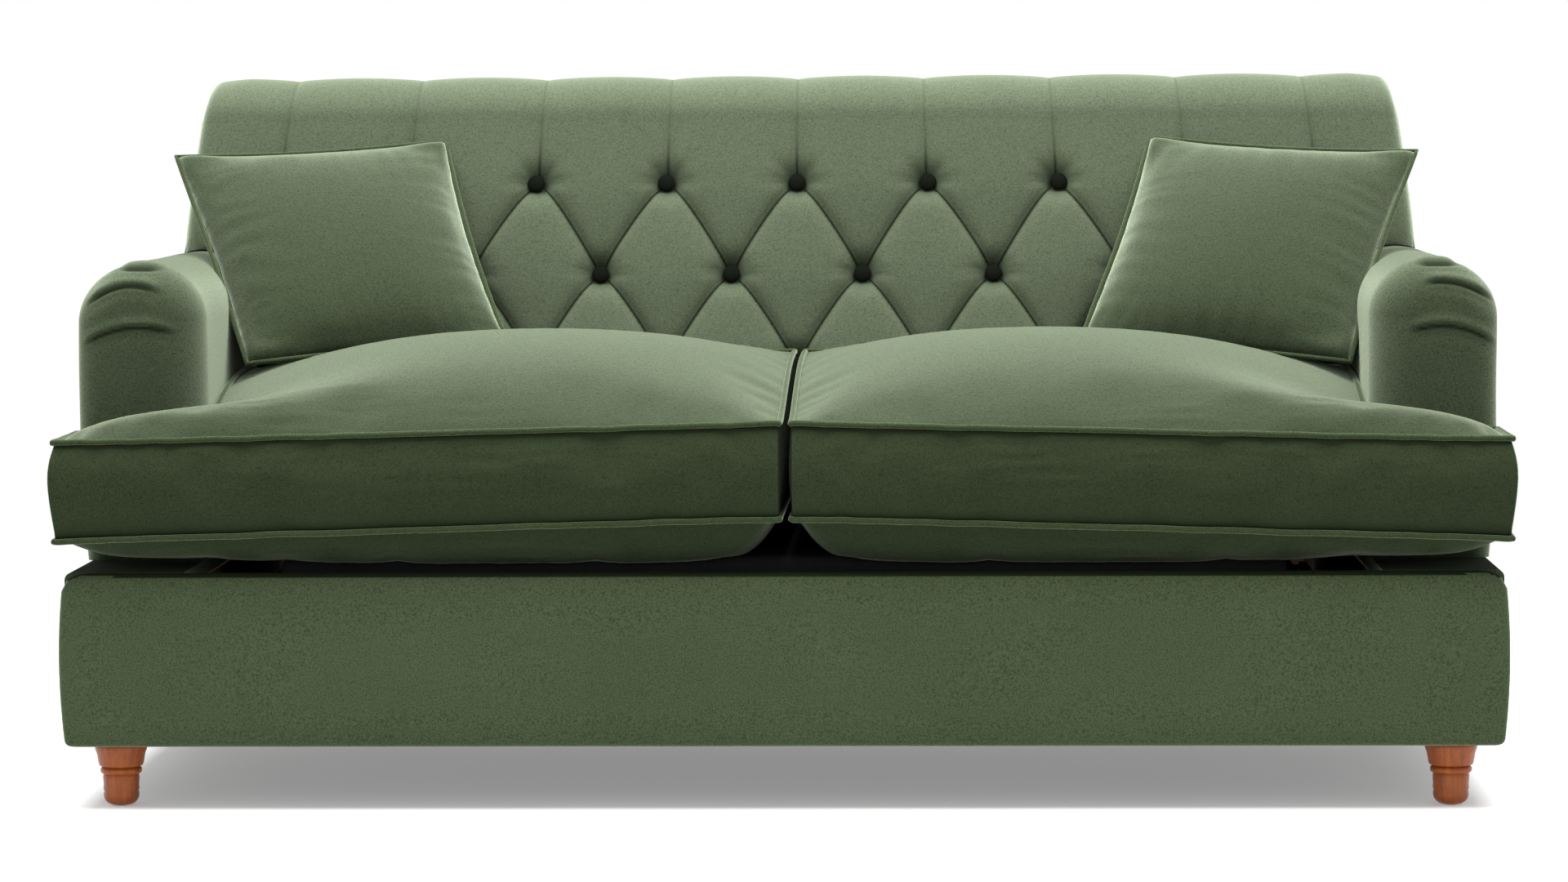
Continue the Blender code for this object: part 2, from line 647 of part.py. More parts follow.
# Seat cushions: T-shaped, piped round the top and the bottom, crowned and drawn in at the corners
def seat_cushion(word, side):
    inner, outer = SEAT_PARTING / 2, BASE_HALF + SEAT_EAR_OVERHANG
    xs = (inner, ARM_INNER * 0.3, ARM_INNER * 0.7, ARM_INNER - SEAT_ARM_PLAY, outer)
    front, ear_rear = FRONT_Y + SEAT_BULGE, ARM_FRONT - SEAT_ARM_PLAY
    ys = (front, front + SEAT_NOSE, ear_rear, (ARM_FRONT + SEAT_REAR) / 2, SEAT_REAR)
    shape = bmesh.new()
    crease_edges = shape.edges.layers.float.new("crease_edge")
    crease_verts = shape.verts.layers.float.new("crease_vert")
    bmesh.ops.create_grid(shape, x_segments=4, y_segments=4, size=0.5)
    column = {v: round((v.co.x + 0.5) * 4) for v in shape.verts}
    row = {v: round((v.co.y + 0.5) * 4) for v in shape.verts}
    beside_arm = [f for f in shape.faces if f.calc_center_median().x > 0.3 and f.calc_center_median().y > 0.1]
    for vert in shape.verts:
        vert.co = (xs[column[vert]], ys[row[vert]], SEAT_LOWER_PIPING)
    bmesh.ops.delete(shape, geom=beside_arm, context="FACES")
    lower = list(shape.faces)
    copied = bmesh.ops.duplicate(shape, geom=lower + list(shape.edges) + list(shape.verts))
    upper = [g for g in copied["geom"] if isinstance(g, bmesh.types.BMFace)]
    for vert in {v for f in upper for v in f.verts}:
        vert.co.z = SEAT_UPPER_PIPING
    rims = [e for e in shape.edges if e.is_boundary]
    walls = bmesh.ops.bridge_loops(shape, edges=rims)["faces"]
    standing = [e for f in walls for e in f.edges if abs(e.verts[0].co.z - e.verts[1].co.z) > 0.01]
    middle_ring = bmesh.ops.subdivide_edges(shape, edges=list(set(standing)), cuts=1, use_grid_fill=True)
    waist = [g for g in middle_ring["geom_inner"] if isinstance(g, bmesh.types.BMVert)]
    for edge in rims:
        edge[crease_edges] = 1.0
    corner_places = {(inner, front), (outer, front), (outer, ear_rear), (xs[3], ear_rear), (xs[3], ys[4]), (inner, ys[4])}
    corners = {(round(x, 5), round(y, 5)) for x, y in corner_places}
    for vert in shape.verts:
        place = (round(vert.co.x, 5), round(vert.co.y, 5))
        is_rim = any(e[crease_edges] > 0.5 for e in vert.link_edges)
        if place in corners and is_rim:
            vert[crease_verts] = 1.0
        if vert in waist:
            if place in corners:
                for edge in (e for e in vert.link_edges if abs(e.verts[0].co.z - e.verts[1].co.z) > 0.01):
                    edge[crease_edges] = 1.0
            continue
        top = vert.co.z > (SEAT_LOWER_PIPING + SEAT_UPPER_PIPING) / 2
        outwards = vert.co.x / BASE_HALF
        if is_rim:
            vert.co.z -= SEAT_DROOP * outwards * (1.0 if top else 1.2)
            if top and vert.co.y > ear_rear + GAP:
                vert.co.z += SEAT_CROWN * 0.52
        elif top:
            rise = 1.25 if vert.co.y > ear_rear + GAP else 0.85
            vert.co.z += SEAT_CROWN * (rise if vert.co.y > ear_rear - GAP else 0.35)
        else:
            vert.co.z = SEAT_BOTTOM - SEAT_BELLY
    for vert in waist:
        if abs(vert.co.y - front) < GAP:
            vert.co.y -= SEAT_BULGE * 1.55
        if abs(vert.co.x - outer) < GAP:
            vert.co.x += SEAT_BULGE * 0.9
    if side < 0:
        bmesh.ops.scale(shape, vec=(-1, 1, 1), verts=shape.verts)
    bmesh.ops.recalc_face_normals(shape, faces=shape.faces)
    mesh = bpy.data.meshes.new("seat cushion")
    shape.to_mesh(mesh)
    shape.free()
    cushion = piece("seat_cushion_" + word, mesh, VELVET)
    subdivided(cushion, 2)
    # It lies on the folded bed, and hangs in front of that almost down to the base.
    mattress = BED_FRONT_HINGE - LUG_RADIUS
    bed_floor = box((-BASE_WIDTH, mattress, BASE_BOTTOM), (BASE_WIDTH, DEPTH, SEAT_BOTTOM))
    base_floor = box((-BASE_WIDTH, -DEPTH, BASE_BOTTOM), (BASE_WIDTH, DEPTH, BASE_TOP + SEAT_BASE_PLAY))
    boolean(cushion, bed_floor, "DIFFERENCE")
    boolean(cushion, base_floor, "DIFFERENCE")
    cushion.data.shade_smooth()


# Scatter cushions: square, thin at the piped rim, with drawn-in sides and full middles
def scatter_cushion(word, side):
    cells = 6
    shape = bmesh.new()
    bmesh.ops.create_grid(shape, x_segments=cells, y_segments=cells, size=1.0)
    copied = bmesh.ops.duplicate(shape, geom=list(shape.faces) + list(shape.edges) + list(shape.verts))
    back = {g for g in copied["geom"] if isinstance(g, bmesh.types.BMVert)}
    for vert in shape.verts:
        u, v = vert.co.x, vert.co.y
        full = math.sqrt(max(0.0, (1 - u * u) * (1 - v * v)))
        swell = SCATTER_THICK / 2 * full ** 0.7 * (-1 if vert in back else 1)
        across = SCATTER_SIZE / 2 * u * (1 - SCATTER_DRAW * (1 - v * v))
        up = SCATTER_SIZE / 2 * v * (1 - SCATTER_DRAW * (1 - u * u))
        vert.co = (across, up, swell)
    bmesh.ops.remove_doubles(shape, verts=shape.verts, dist=0.00001)
    bmesh.ops.recalc_face_normals(shape, faces=shape.faces)
    mesh = bpy.data.meshes.new("scatter cushion")
    shape.to_mesh(mesh)
    shape.free()
    cushion = piece("scatter_cushion_" + word, mesh, VELVET)
    x = ARM_INNER - SCATTER_ARM_SPACE
    y = PAD_FRONT - SCATTER_BACK_SPACE
    z = SEAT_UPPER_PIPING + SCATTER_RISE
    stand = Matrix.Rotation(-side * SCATTER_TURN, 4, "Z") @ Matrix.Rotation(QUARTER - SCATTER_LEAN, 4, "X")
    stand = stand @ Matrix.Rotation(-side * SCATTER_SPIN, 4, "Z")
    cushion.matrix_world = Matrix.Translation((side * x, y, z)) @ stand
    subdivided(cushion, 1)
    cushion.data.shade_smooth()


# Bed sections: a tube frame with crossbars, and a mattress panel that is a little narrower
def section_frame(name, front, rear, low):
    """A flat welded frame of square tube between two Y places, standing on a height."""
    outer = rectangle((-BED_HALF_WIDTH, front), (BED_HALF_WIDTH, rear))
    bay = (rear - front - TUBE) / (CROSSBARS - 1)
    reach = BED_HALF_WIDTH - TUBE
    bays = []
    for k in range(CROSSBARS - 1):
        near = front + k * bay + TUBE
        bays.append(rectangle((-reach, near), (reach, near + bay - TUBE)))
    return piece(name, plate([outer, *bays], "Z", low, low + TUBE), STEEL)


def lug(side, inner, outline, hole=None):
    loops = [outline] if hole is None else [outline, hole]
    return plate(loops, "X", *span(side, inner, inner + LUG))


def fold_lug(axis, root_y, root_z, radius):
    """The outline of a hinge ear from a crossbar up or down to a hinge's axis."""
    y, z = axis
    up = 1 if z > root_z else -1
    away = 1 if y > root_y else -1
    head = [(y + away * radius * math.cos(t), z + up * radius * math.sin(t))
            for t in (math.radians(a) for a in range(-60, 181, 30))]
    foot = root_z - up * LUG_SINK
    tail = [(root_y - away * LUG_TAIL, foot), (root_y, foot)]
    return tail + head


def bed_frames():
    hinge_ab = (BED_FRONT_HINGE, SEAM_AB)
    hinge_bc = (SECTION_REAR_HINGE, SEAM_BC)
    front = BED_FRONT_HINGE + HINGE_SETBACK
    rear = SECTION_REAR_HINGE - HINGE_SETBACK
    b_low = SEAM_BC - LAYER_PLAY / 2 - TUBE
    frame_a = section_frame("bed_frame_a", front, SECTION_A_REAR, BED_BOTTOM)
    frame_b = section_frame("bed_frame_b", front, rear, b_low)
    frame_c = section_frame("bed_frame_c", front, rear, C_BOTTOM)
    a_lug = fold_lug(hinge_ab, front + LUG_ROOT, BED_BOTTOM + TUBE / 2, LUG_RADIUS)
    b_front_lug = [(y, 2 * SEAM_AB - z) for y, z in a_lug]
    b_rear_lug = fold_lug(hinge_bc, rear - LUG_ROOT, SEAM_BC - LAYER_PLAY / 2 - TUBE / 2, KNUCKLE_RADIUS)
    c_lug = [(y, 2 * SEAM_BC - z) for y, z in b_rear_lug]
    outer = LUG_OUTER - LUG
    inner = LUG_INNER - LUG
    for word, side in sides():
        boolean(frame_a, lug(side, outer, a_lug), "UNION")
        boolean(frame_a, pin(hinge_ab, HINGE_PIN, *span(side, inner - PIN_END, outer + LUG / 2)), "UNION")
        boolean(frame_b, lug(side, inner, b_front_lug, circle(hinge_ab, HINGE_PIN + PIN_PLAY)), "UNION")
        boolean(frame_b, lug(side, outer, b_rear_lug), "UNION")
        boolean(frame_b, pin(hinge_bc, HINGE_PIN_SMALL, *span(side, inner - PIN_END, outer + LUG / 2)), "UNION")
        boolean(frame_c, lug(side, inner, c_lug, circle(hinge_bc, HINGE_PIN_SMALL + PIN_PLAY)), "UNION")
        link_hole = span(side, BED_HALF_WIDTH - TUBE * 1.25, BED_HALF_WIDTH + TUBE / 4)
        boolean(frame_a, pin((LINK_REAR_PLACE, LINK_HEIGHT), LINK_PIN + PIN_PLAY, *link_hole), "DIFFERENCE")
        for y in leg_pivots().values():
            boolean(frame_c, pin((y, C_BOTTOM + TUBE / 2), LEG_PIN + PIN_PLAY, *link_hole), "DIFFERENCE")


def mattresses():
    front = BED_FRONT_HINGE + MATTRESS_SETBACK
    rear = SECTION_REAR_HINGE - MATTRESS_SETBACK
    b_top = SEAM_BC - LAYER_PLAY / 2 - TUBE - GAP
    for name, back, low, high in (
        ("mattress_a", SECTION_A_REAR, BED_BOTTOM + TUBE + GAP, BED_BOTTOM + LAYER),
        ("mattress_b", rear, SEAM_AB + LAYER_PLAY / 2, b_top),
        ("mattress_c", rear, C_BOTTOM + TUBE + GAP, C_BOTTOM + LAYER),
    ):
        panel = piece(name, box((-MATTRESS_HALF, front, low), (MATTRESS_HALF, back, high)), TICKING)
        rounded(panel, MATTRESS_ROUND, 3)


# Lifting links: flat bars that turn half a turn and carry section A over the front rail
def link_axes(place):
    """The (y, z) of a link's pin in section A and of its pin in the fixed bracket."""
    on_section = (place, LINK_HEIGHT)
    return on_section, (place - LINK_REACH / 2, LINK_HEIGHT + LINK_RISE / 2)


def bar_outline(first, last, radius):
    """A bar with round ends between two points."""
    heading = math.degrees(math.atan2(last[1] - first[1], last[0] - first[0]))
    return arc(last, radius, heading - 90, heading + 90, 8) + arc(first, radius, heading + 90, heading + 270, 8)


def lifting_links():
    link_outer = LINK_INNER + LINK_THICK
    bracket_outer = BED_RAIL_INNER - GAP
    bracket_inner = bracket_outer - BRACKET_THICK
    for word, side in sides():
        pivots = []
        for end, place in (("front", LINK_FRONT_PLACE), ("rear", LINK_REAR_PLACE)):
            on_section, on_bracket = link_axes(place)
            pivots.append(on_bracket)
            outline = bar_outline(on_section, on_bracket, LINK_RADIUS)
            bar = plate([outline], "X", *span(side, LINK_INNER, link_outer))
            link = piece(f"link_{end}_{word}", bar, STEEL, origin=(0.0, *on_bracket))
            outward = span(side, LINK_INNER + LINK_SINK, bracket_outer - PIN_END)
            boolean(link, pin(on_bracket, LINK_PIN, *outward), "UNION")
            reach = BED_HALF_WIDTH - TUBE + PIN_END if end == "rear" else BED_HALF_WIDTH + GAP
            inward = span(side, reach, link_outer - LINK_SINK)
            boolean(link, pin(on_section, LINK_PIN, *inward), "UNION")
        low = (pivots[0][0] - BRACKET_MARGIN, pivots[0][1] - BRACKET_MARGIN)
        high = (pivots[1][0] + BRACKET_MARGIN, pivots[1][1] + BRACKET_MARGIN)
        holes = [circle(p, LINK_PIN + PIN_PLAY) for p in pivots]
        outline = rounded_rectangle(low, high, BRACKET_MARGIN * 0.8)
        bracket = plate([outline, *holes], "X", *span(side, bracket_inner, bracket_outer))
        piece("link_bracket_" + word, bracket, STEEL)


# Bed legs: flat bars beside section C that swing down as the bed opens
def leg_pivots():
    return {
        "foot": BED_FRONT_HINGE + HINGE_SETBACK + LEG_INSET,
        "middle": SECTION_REAR_HINGE - HINGE_SETBACK - LEG_INSET,
    }


def bed_legs():
    height = C_BOTTOM + TUBE / 2
    open_height = LINK_HEIGHT + LINK_RISE
    length = open_height - LEG_HALF_WIDTH - LEG_FLOOR_PLAY
    first_lane = BED_HALF_WIDTH + LEG_SIDE_PLAY
    lanes = {"foot": first_lane, "middle": first_lane + LEG_THICK + LEG_SIDE_PLAY}
    heading = {"foot": 1, "middle": -1}
    for end, pivot in leg_pivots().items():
        for word, side in sides():
            lane = lanes[end]
            axis = (pivot, height)
            tip = (pivot + heading[end] * length, height)
            bar = plate([bar_outline(axis, tip, LEG_HALF_WIDTH)], "X", *span(side, lane, lane + LEG_THICK))
            leg = piece(f"leg_{end}_{word}", bar, STEEL, origin=(0.0, *axis))
            stub = span(side, BED_HALF_WIDTH - TUBE + PIN_END, lane + LEG_THICK / 2)
            boolean(leg, pin(axis, LEG_PIN, *stub), "UNION")


base_frame()
base_covers()
feet()
arms()
back_frame()
outside_back()
back_pad()
buttons()
bed_frames()
mattresses()
lifting_links()
bed_legs()
for word, side in sides():
    seat_cushion(word, side)
    scatter_cushion(word, side)
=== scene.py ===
"""A two-seat sofa bed in sage velvet, dressed over its packed construction model.

Metres, +Z up, the front faces -Y and +X is to the right seen from the front.
"""

import math

import bmesh
import bpy
from mathutils import Matrix, Vector, noise


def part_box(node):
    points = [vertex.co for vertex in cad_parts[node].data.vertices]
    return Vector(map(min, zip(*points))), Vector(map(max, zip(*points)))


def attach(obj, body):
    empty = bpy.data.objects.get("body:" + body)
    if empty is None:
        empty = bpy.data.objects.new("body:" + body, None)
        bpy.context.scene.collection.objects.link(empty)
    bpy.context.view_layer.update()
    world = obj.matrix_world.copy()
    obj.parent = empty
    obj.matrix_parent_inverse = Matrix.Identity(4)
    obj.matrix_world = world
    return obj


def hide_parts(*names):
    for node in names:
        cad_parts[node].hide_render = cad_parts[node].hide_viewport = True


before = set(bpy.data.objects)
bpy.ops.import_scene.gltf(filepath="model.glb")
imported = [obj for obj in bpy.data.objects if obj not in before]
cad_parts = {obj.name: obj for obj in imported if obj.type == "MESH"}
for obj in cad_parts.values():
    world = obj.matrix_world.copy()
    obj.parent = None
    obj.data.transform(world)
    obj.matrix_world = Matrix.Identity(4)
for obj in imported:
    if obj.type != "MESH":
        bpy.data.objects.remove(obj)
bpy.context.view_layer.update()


# Timber frame: sawn softwood rails, posts and arm frames, glued and screwed together. It shows only
# from below and when the bed is out. What lies round the bed is darkened as painted shade, to read as
# shadow in the gap under the cushions.
class Wire:
    """A shader socket. Sums on it add Math nodes, as work() does by name, and node() adds any other."""

    def __init__(self, tree, socket=None):
        self.tree = tree
        self.socket = socket

    def node(self, kind, settings=None, inputs=None, output=0):
        made = self.tree.nodes.new("ShaderNode" + kind)
        for name, value in (settings or {}).items():
            if name == "stops":
                while len(made.color_ramp.elements) < len(value):
                    made.color_ramp.elements.new(1.0)
                for element, (place, colour) in zip(made.color_ramp.elements, value):
                    element.position = place
                    element.color = (*colour, 1.0)
            else:
                setattr(made, name, value)
        for name, value in (inputs or {}).items():
            if isinstance(value, Wire):
                self.tree.links.new(value.socket, made.inputs[name])
            else:
                made.inputs[name].default_value = value
        return Wire(self.tree, made.outputs[output])

    def work(self, operation, first, second):
        return self.node("Math", {"operation": operation}, {0: first, 1: second})

    def __add__(self, other):
        return self.work("ADD", self, other)

    def __radd__(self, other):
        return self.work("ADD", other, self)

    def __sub__(self, other):
        return self.work("SUBTRACT", self, other)

    def __rsub__(self, other):
        return self.work("SUBTRACT", other, self)

    def __mul__(self, other):
        return self.work("MULTIPLY", self, other)


class Finish:
    """A material: its fixed sockets are set by name, and its maps are wired in with feed()."""

    def __init__(self, name, **fixed):
        self.material = bpy.data.materials.new(name)
        self.material.use_nodes = True
        self.tree = self.material.node_tree
        self.shader = self.tree.nodes["Principled BSDF"]
        for socket, value in fixed.items():
            self.shader.inputs[socket.replace("_", " ").title()].default_value = value
        self.wire = Wire(self.tree)
        self.place = self.wire.node("TexCoord", output="Object")

    def noise(self, scale, detail=2.0, stretch=(1, 1, 1)):
        """A noise pattern with this many lumps to the metre, squeezed along the axes."""
        place = self.wire.node("Mapping", inputs={"Vector": self.place, "Scale": stretch})
        return self.wire.node("TexNoise", inputs={"Vector": place, "Scale": scale, "Detail": detail})

    def mix(self, share, first, second):
        return self.wire.node("Mix", {"data_type": "RGBA"}, {0: share, 6: first, 7: second}, output=2)

    def feed(self, bump=None, depth=0.001, **maps):
        """Links maps to the shader's sockets, and a height to its normal."""
        for socket, wire in maps.items():
            self.tree.links.new(wire.socket, self.shader.inputs[socket.replace("_", " ").title()])
        if bump is not None:
            normal = self.wire.node("Bump", inputs={"Height": bump, "Distance": depth, "Strength": 0.6})
            self.tree.links.new(normal.socket, self.shader.inputs["Normal"])
        return self.material

    def shade(self, share, colour):
        """Paints shade: lets a dark matt colour take over where the share is 1."""
        matt = self.wire.node(
            "BsdfPrincipled", inputs={"Base Color": colour, "Roughness": 0.9, "Specular IOR Level": 0.05}
        )
        plain = Wire(self.tree, self.shader.outputs[0])
        both = self.wire.node("MixShader", inputs={0: share, 1: plain, 2: matt})
        self.tree.links.new(both.socket, self.tree.nodes["Material Output"].inputs["Surface"])


def sawn_timber(axis, timber_shade):
    """Softwood with its grain along X, Y or Z, darkened from 0 to 1 as painted shade."""
    timber = Finish(f"sawn timber along {axis}, stain {timber_shade}")
    along = [0.06 if letter == axis else 1.0 for letter in "XYZ"]
    grain = timber.noise(90.0, 4.0, along)
    fibre = timber.noise(700.0, 2.0, along)
    knots = timber.noise(9.0, 1.0, along)
    colour = timber.wire.node("ValToRGB", {"stops": [
        (place, Vector(wood) * (1 - timber_shade)) for place, wood in (
            (0.25, (0.30, 0.18, 0.09)), (0.50, (0.42, 0.28, 0.15)), (0.80, (0.52, 0.38, 0.22))
        )
    ]}, {"Fac": grain * 0.7 + knots * 0.3})
    return timber.feed(bump=grain + fibre, depth=0.0006, Base_Color=colour, Roughness=0.55 + fibre * 0.3)


SIDES = (("left", -1), ("right", 1))
# How dark the timber round the bed is made: painted shade for the gap under the cushions
GAP_SHADE_DARKENING = 0.9
round_the_bed = [kind + word for kind in ("arm_frame_", "side_rail_", "bed_rail_") for word, _ in SIDES]
timber_runs = (
    ("X", 0.0, ["rear_rail", "back_top_rail", "back_lower_rail"]),
    ("Z", 0.0, ["back_post_left", "back_post_right"]),
    ("X", GAP_SHADE_DARKENING, ["front_rail"]),
    ("Y", GAP_SHADE_DARKENING, round_the_bed),
)
for axis, timber_shade, nodes in timber_runs:
    timber = sawn_timber(axis, timber_shade)
    for node in nodes:
        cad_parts[node].material_slots[0].material = timber


# Bed mechanism: square steel tube, flat links and folding legs, welded, pinned and powder coated
# in a satin black with the faint orange-peel surface that such paint has.
steel = Finish("powder coated steel")
peel = steel.noise(1400.0, 1.0)
scuff = steel.noise(24.0, 5.0)
steel_colour = steel.mix(scuff, (0.011, 0.011, 0.012, 1.0), (0.024, 0.024, 0.026, 1.0))
steel_paint = steel.feed(bump=peel, depth=0.0002, Base_Color=steel_colour, Roughness=0.44 + scuff * 0.2)
steel_nodes = ["bed_frame_" + letter for letter in "abc"]
for part in ("link_front_", "link_rear_", "link_bracket_", "leg_foot_", "leg_middle_"):
    steel_nodes += [part + word for word, _ in SIDES]
for node in steel_nodes:
    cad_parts[node].material_slots[0].material = steel_paint


# Mattress panels: three slabs of foam in charcoal ticking, one to each section of the bed, with
# rolled edges and a shallow diamond quilting sewn through the cover. The ticking is darkened to near black,
# with almost no sheen, as painted shade for the gap under the seat.
def clamp(share):
    return min(1.0, max(0.0, share))


def bell(distance, width):
    """1 at a line, falling away on both sides of it."""
    return math.exp(-(distance / width) ** 2)


def soft_slab(low, high, roll, cell):
    """A block with rolled edges, cut finely enough to take swellings and stitching."""
    shape = bmesh.new()
    size = Vector(high) - Vector(low)
    middle = (Vector(high) + Vector(low)) / 2
    bmesh.ops.create_cube(shape, size=1.0, matrix=Matrix.Translation(middle) @ Matrix.Diagonal((*size, 1.0)))
    bmesh.ops.bevel(
        shape, geom=list(shape.edges), offset=roll, segments=4, profile=0.5, affect="EDGES", material=-1
    )
    for axis in range(3):
        cuts = int((size[axis] - 2 * roll) / cell)
        long_edges = [
            e for e in shape.edges
            if abs(e.verts[0].co[axis] - e.verts[1].co[axis]) > 0.9 * (size[axis] - 2 * roll)
        ]
        if cuts > 0:
            bmesh.ops.subdivide_edges(shape, edges=long_edges, cuts=cuts, use_grid_fill=True)
    return shape


def new_piece(name, shape, material, crease=60):
    """Makes an object of a bmesh, smooth except across edges sharper than an angle in degrees."""
    bmesh.ops.remove_doubles(shape, verts=shape.verts, dist=0.00002)
    bmesh.ops.recalc_face_normals(shape, faces=shape.faces)
    mesh = bpy.data.meshes.new(name)
    shape.to_mesh(mesh)
    shape.free()
    mesh.materials.append(material)
    mesh.shade_smooth()
    mesh.set_sharp_from_angle(angle=math.radians(crease))
    made = bpy.data.objects.new(name, mesh)
    bpy.context.scene.collection.objects.link(made)
    return made


MATTRESS_ROLL = 0.014
MATTRESS_CELL = 0.011
QUILT_CELL = 0.110
QUILT_DEPTH = 0.0035
QUILT_STITCH = 0.09
QUILT_MARGIN = 0.02
QUILT_FADE = 0.03
ticking = Finish("charcoal ticking", Sheen_Weight=0.01, Sheen_Roughness=0.5)
ticking.shader.inputs["Specular IOR Level"].default_value = 0.05
ticking_warp, ticking_weft = (
    ticking.wire.node(
        "TexWave", {"wave_type": "BANDS", "bands_direction": axis},
        {"Vector": ticking.place, "Scale": 160.0, "Distortion": 0.4, "Detail": 1.0},
    )
    for axis in "XY"
)
ticking_soil = ticking.noise(14.0, 3.0)
# Near-black ticking: charcoal cloth darkened as painted shade for the gap under the seat
gap_dark_ticking = ticking.feed(
    bump=ticking_warp * 0.5 + ticking_weft * 0.5,
    depth=0.0005,
    Base_Color=ticking.mix(ticking_soil, (0.008, 0.008, 0.009, 1.0), (0.016, 0.016, 0.018, 1.0)),
    Roughness=0.8 + ticking_soil * 0.15,
)
for letter in "abc":
    low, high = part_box("mattress_" + letter)
    shape = soft_slab(low, high, MATTRESS_ROLL, MATTRESS_CELL)
    for vert in shape.verts:
        across = (vert.co.x + vert.co.y) / QUILT_CELL
        along = (vert.co.x - vert.co.y) / QUILT_CELL
        stitch = max(bell(u - round(u), QUILT_STITCH) for u in (across, along))
        inset = min(vert.co.x - low.x, high.x - vert.co.x, vert.co.y - low.y, high.y - vert.co.y)
        if inset > QUILT_MARGIN:
            face = 1 if vert.co.z > (low.z + high.z) / 2 else -1
            vert.co.z -= face * QUILT_DEPTH * stitch * clamp((inset - QUILT_MARGIN) / QUILT_FADE)
    panel = new_piece("mattress_panel_" + letter, shape, gap_dark_ticking)
    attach(panel, "section_" + letter)
    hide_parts("mattress_" + letter)


# Base covers: velvet drawn over wadding on the rails. The front is one plain piece with a slight
# belly, and each side turns in over the top of the rails under the arm.
VELVET_DEEP = Vector((0.026, 0.043, 0.013))
VELVET_LIGHT = Vector((0.074, 0.111, 0.044))
VELVET_PILE = Vector((0.62, 0.72, 0.53))
# The dark matt colour of painted shade in the nap, the folds and the seams
VELVET_SHADE_COLOUR = (0.003, 0.006, 0.002, 1.0)


def sage_velvet(name, body, pile, grey=0.0, spread=0.40, crease_shade=None, grain=1.75):
    """Short-pile velvet: a fine nap, cloudy where the pile lies another way, pale at grazing angles.
    The shares set how light it looks from in front, how pale along the pile, how grey it is, how wide
    the pale edges spread and how much painted shade lies between the tufts of the nap. Crease shade gives
    a further share of painted shade."""
    velvet = Finish(name, Sheen_Weight=1.0, Sheen_Roughness=spread, Sheen_Tint=(*(VELVET_PILE * pile), 1.0))
    velvet.shader.inputs["Specular IOR Level"].default_value = 0.08
    nap = velvet.noise(480.0, 2.0)
    flecks = velvet.noise(190.0, 2.0)
    clouds = velvet.noise(7.0, 4.0)
    share = nap * 0.9 + flecks * 0.3 + clouds * 0.25 - 0.225
    deep, light = (
        (*((colour * (1 - grey) + VELVET_PILE * colour.y / VELVET_PILE.y * grey) * body), 1.0)
        for colour in (VELVET_DEEP, VELVET_LIGHT)
    )
    # Painted shade: a dark matt colour mixed in where the nap dips, standing for shadow between the tufts,
    # and wherever the crease shade says.
    painted_shade_share = velvet.wire.work("MAXIMUM", (0.53 - nap) * grain, 0.0)
    if crease_shade is not None:
        painted_shade_share = velvet.wire.work("MAXIMUM", painted_shade_share, crease_shade(velvet))
    velvet.shade(painted_shade_share, VELVET_SHADE_COLOUR)
    return velvet.feed(
        bump=nap + flecks * 0.6,
        depth=0.0006,
        Base_Color=velvet.mix(share, deep, light),
        Roughness=0.78 + nap * 0.2,
    )


# The base's copy, and each piece's below, is set lighter or darker: partly the pile lying another way,
# partly painted light and shade for how brightly the lamps fall on that piece.
velvet = sage_velvet("sage velvet", 0.68, 0.60, 0.3)
# Darker copies with little sheen, as painted shade: the shaded one on the cushions' bellies, the shadowed
# one on faces hidden under the seat and on the walls between the cushions.
shaded_velvet = sage_velvet("shaded velvet", 0.26, 0.20)
gap_shade_velvet = sage_velvet("shadowed velvet", 0.16, 0.02)


def shade_top(piece):
    """Puts darker, nearly sheenless velvet on faces that look up: painted shade where the seat hides them.
    """
    piece.data.materials.append(gap_shade_velvet)
    for face in piece.data.polygons:
        face.material_index = int(face.normal.z > 0.6)


def rounded(radius, inset):
    """How far a rounded corner is drawn back at a distance in from its end."""
    return radius * (1 - math.sqrt(1 - clamp(1 - inset / radius) ** 2))


FRONT_ROLL = 0.009
FRONT_CELL = 0.016
FRONT_BELLY = 0.006
FRONT_RIPPLE = 0.002
FRONT_END_BELLY = 0.007
FRONT_CORNER = 0.026
FRONT_FOOT_CORNER = 0.004
low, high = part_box("base_front_panel")
shape = soft_slab(low, high, FRONT_ROLL, FRONT_CELL)
for vert in shape.verts:
    across = 2 * (vert.co.x - low.x) / (high.x - low.x) - 1
    up = 2 * (vert.co.z - low.z) / (high.z - low.z) - 1
    if vert.co.y < (low.y + high.y) / 2:
        vert.co.y -= FRONT_BELLY * (1 - across ** 8) * (1 - up ** 4)
        vert.co.y -= FRONT_RIPPLE * noise.noise(vert.co * 5)
    drawn = rounded(FRONT_CORNER, high.z - vert.co.z)
    drawn += rounded(FRONT_FOOT_CORNER, vert.co.z - low.z)
    vert.co.x *= 1 + (FRONT_END_BELLY * (1 - up ** 2) - drawn) / high.x
front_cover = new_piece("front_cover", shape, velvet)
shade_top(front_cover)
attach(front_cover, "root")
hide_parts("base_front_panel")


def arc(centre, radius, first, last, steps):
    """Points on a circle from one angle to another, in degrees."""
    turns = [math.radians(first + (last - first) * i / steps) for i in range(steps + 1)]
    return [(centre[0] + radius * math.cos(t), centre[1] + radius * math.sin(t)) for t in turns]


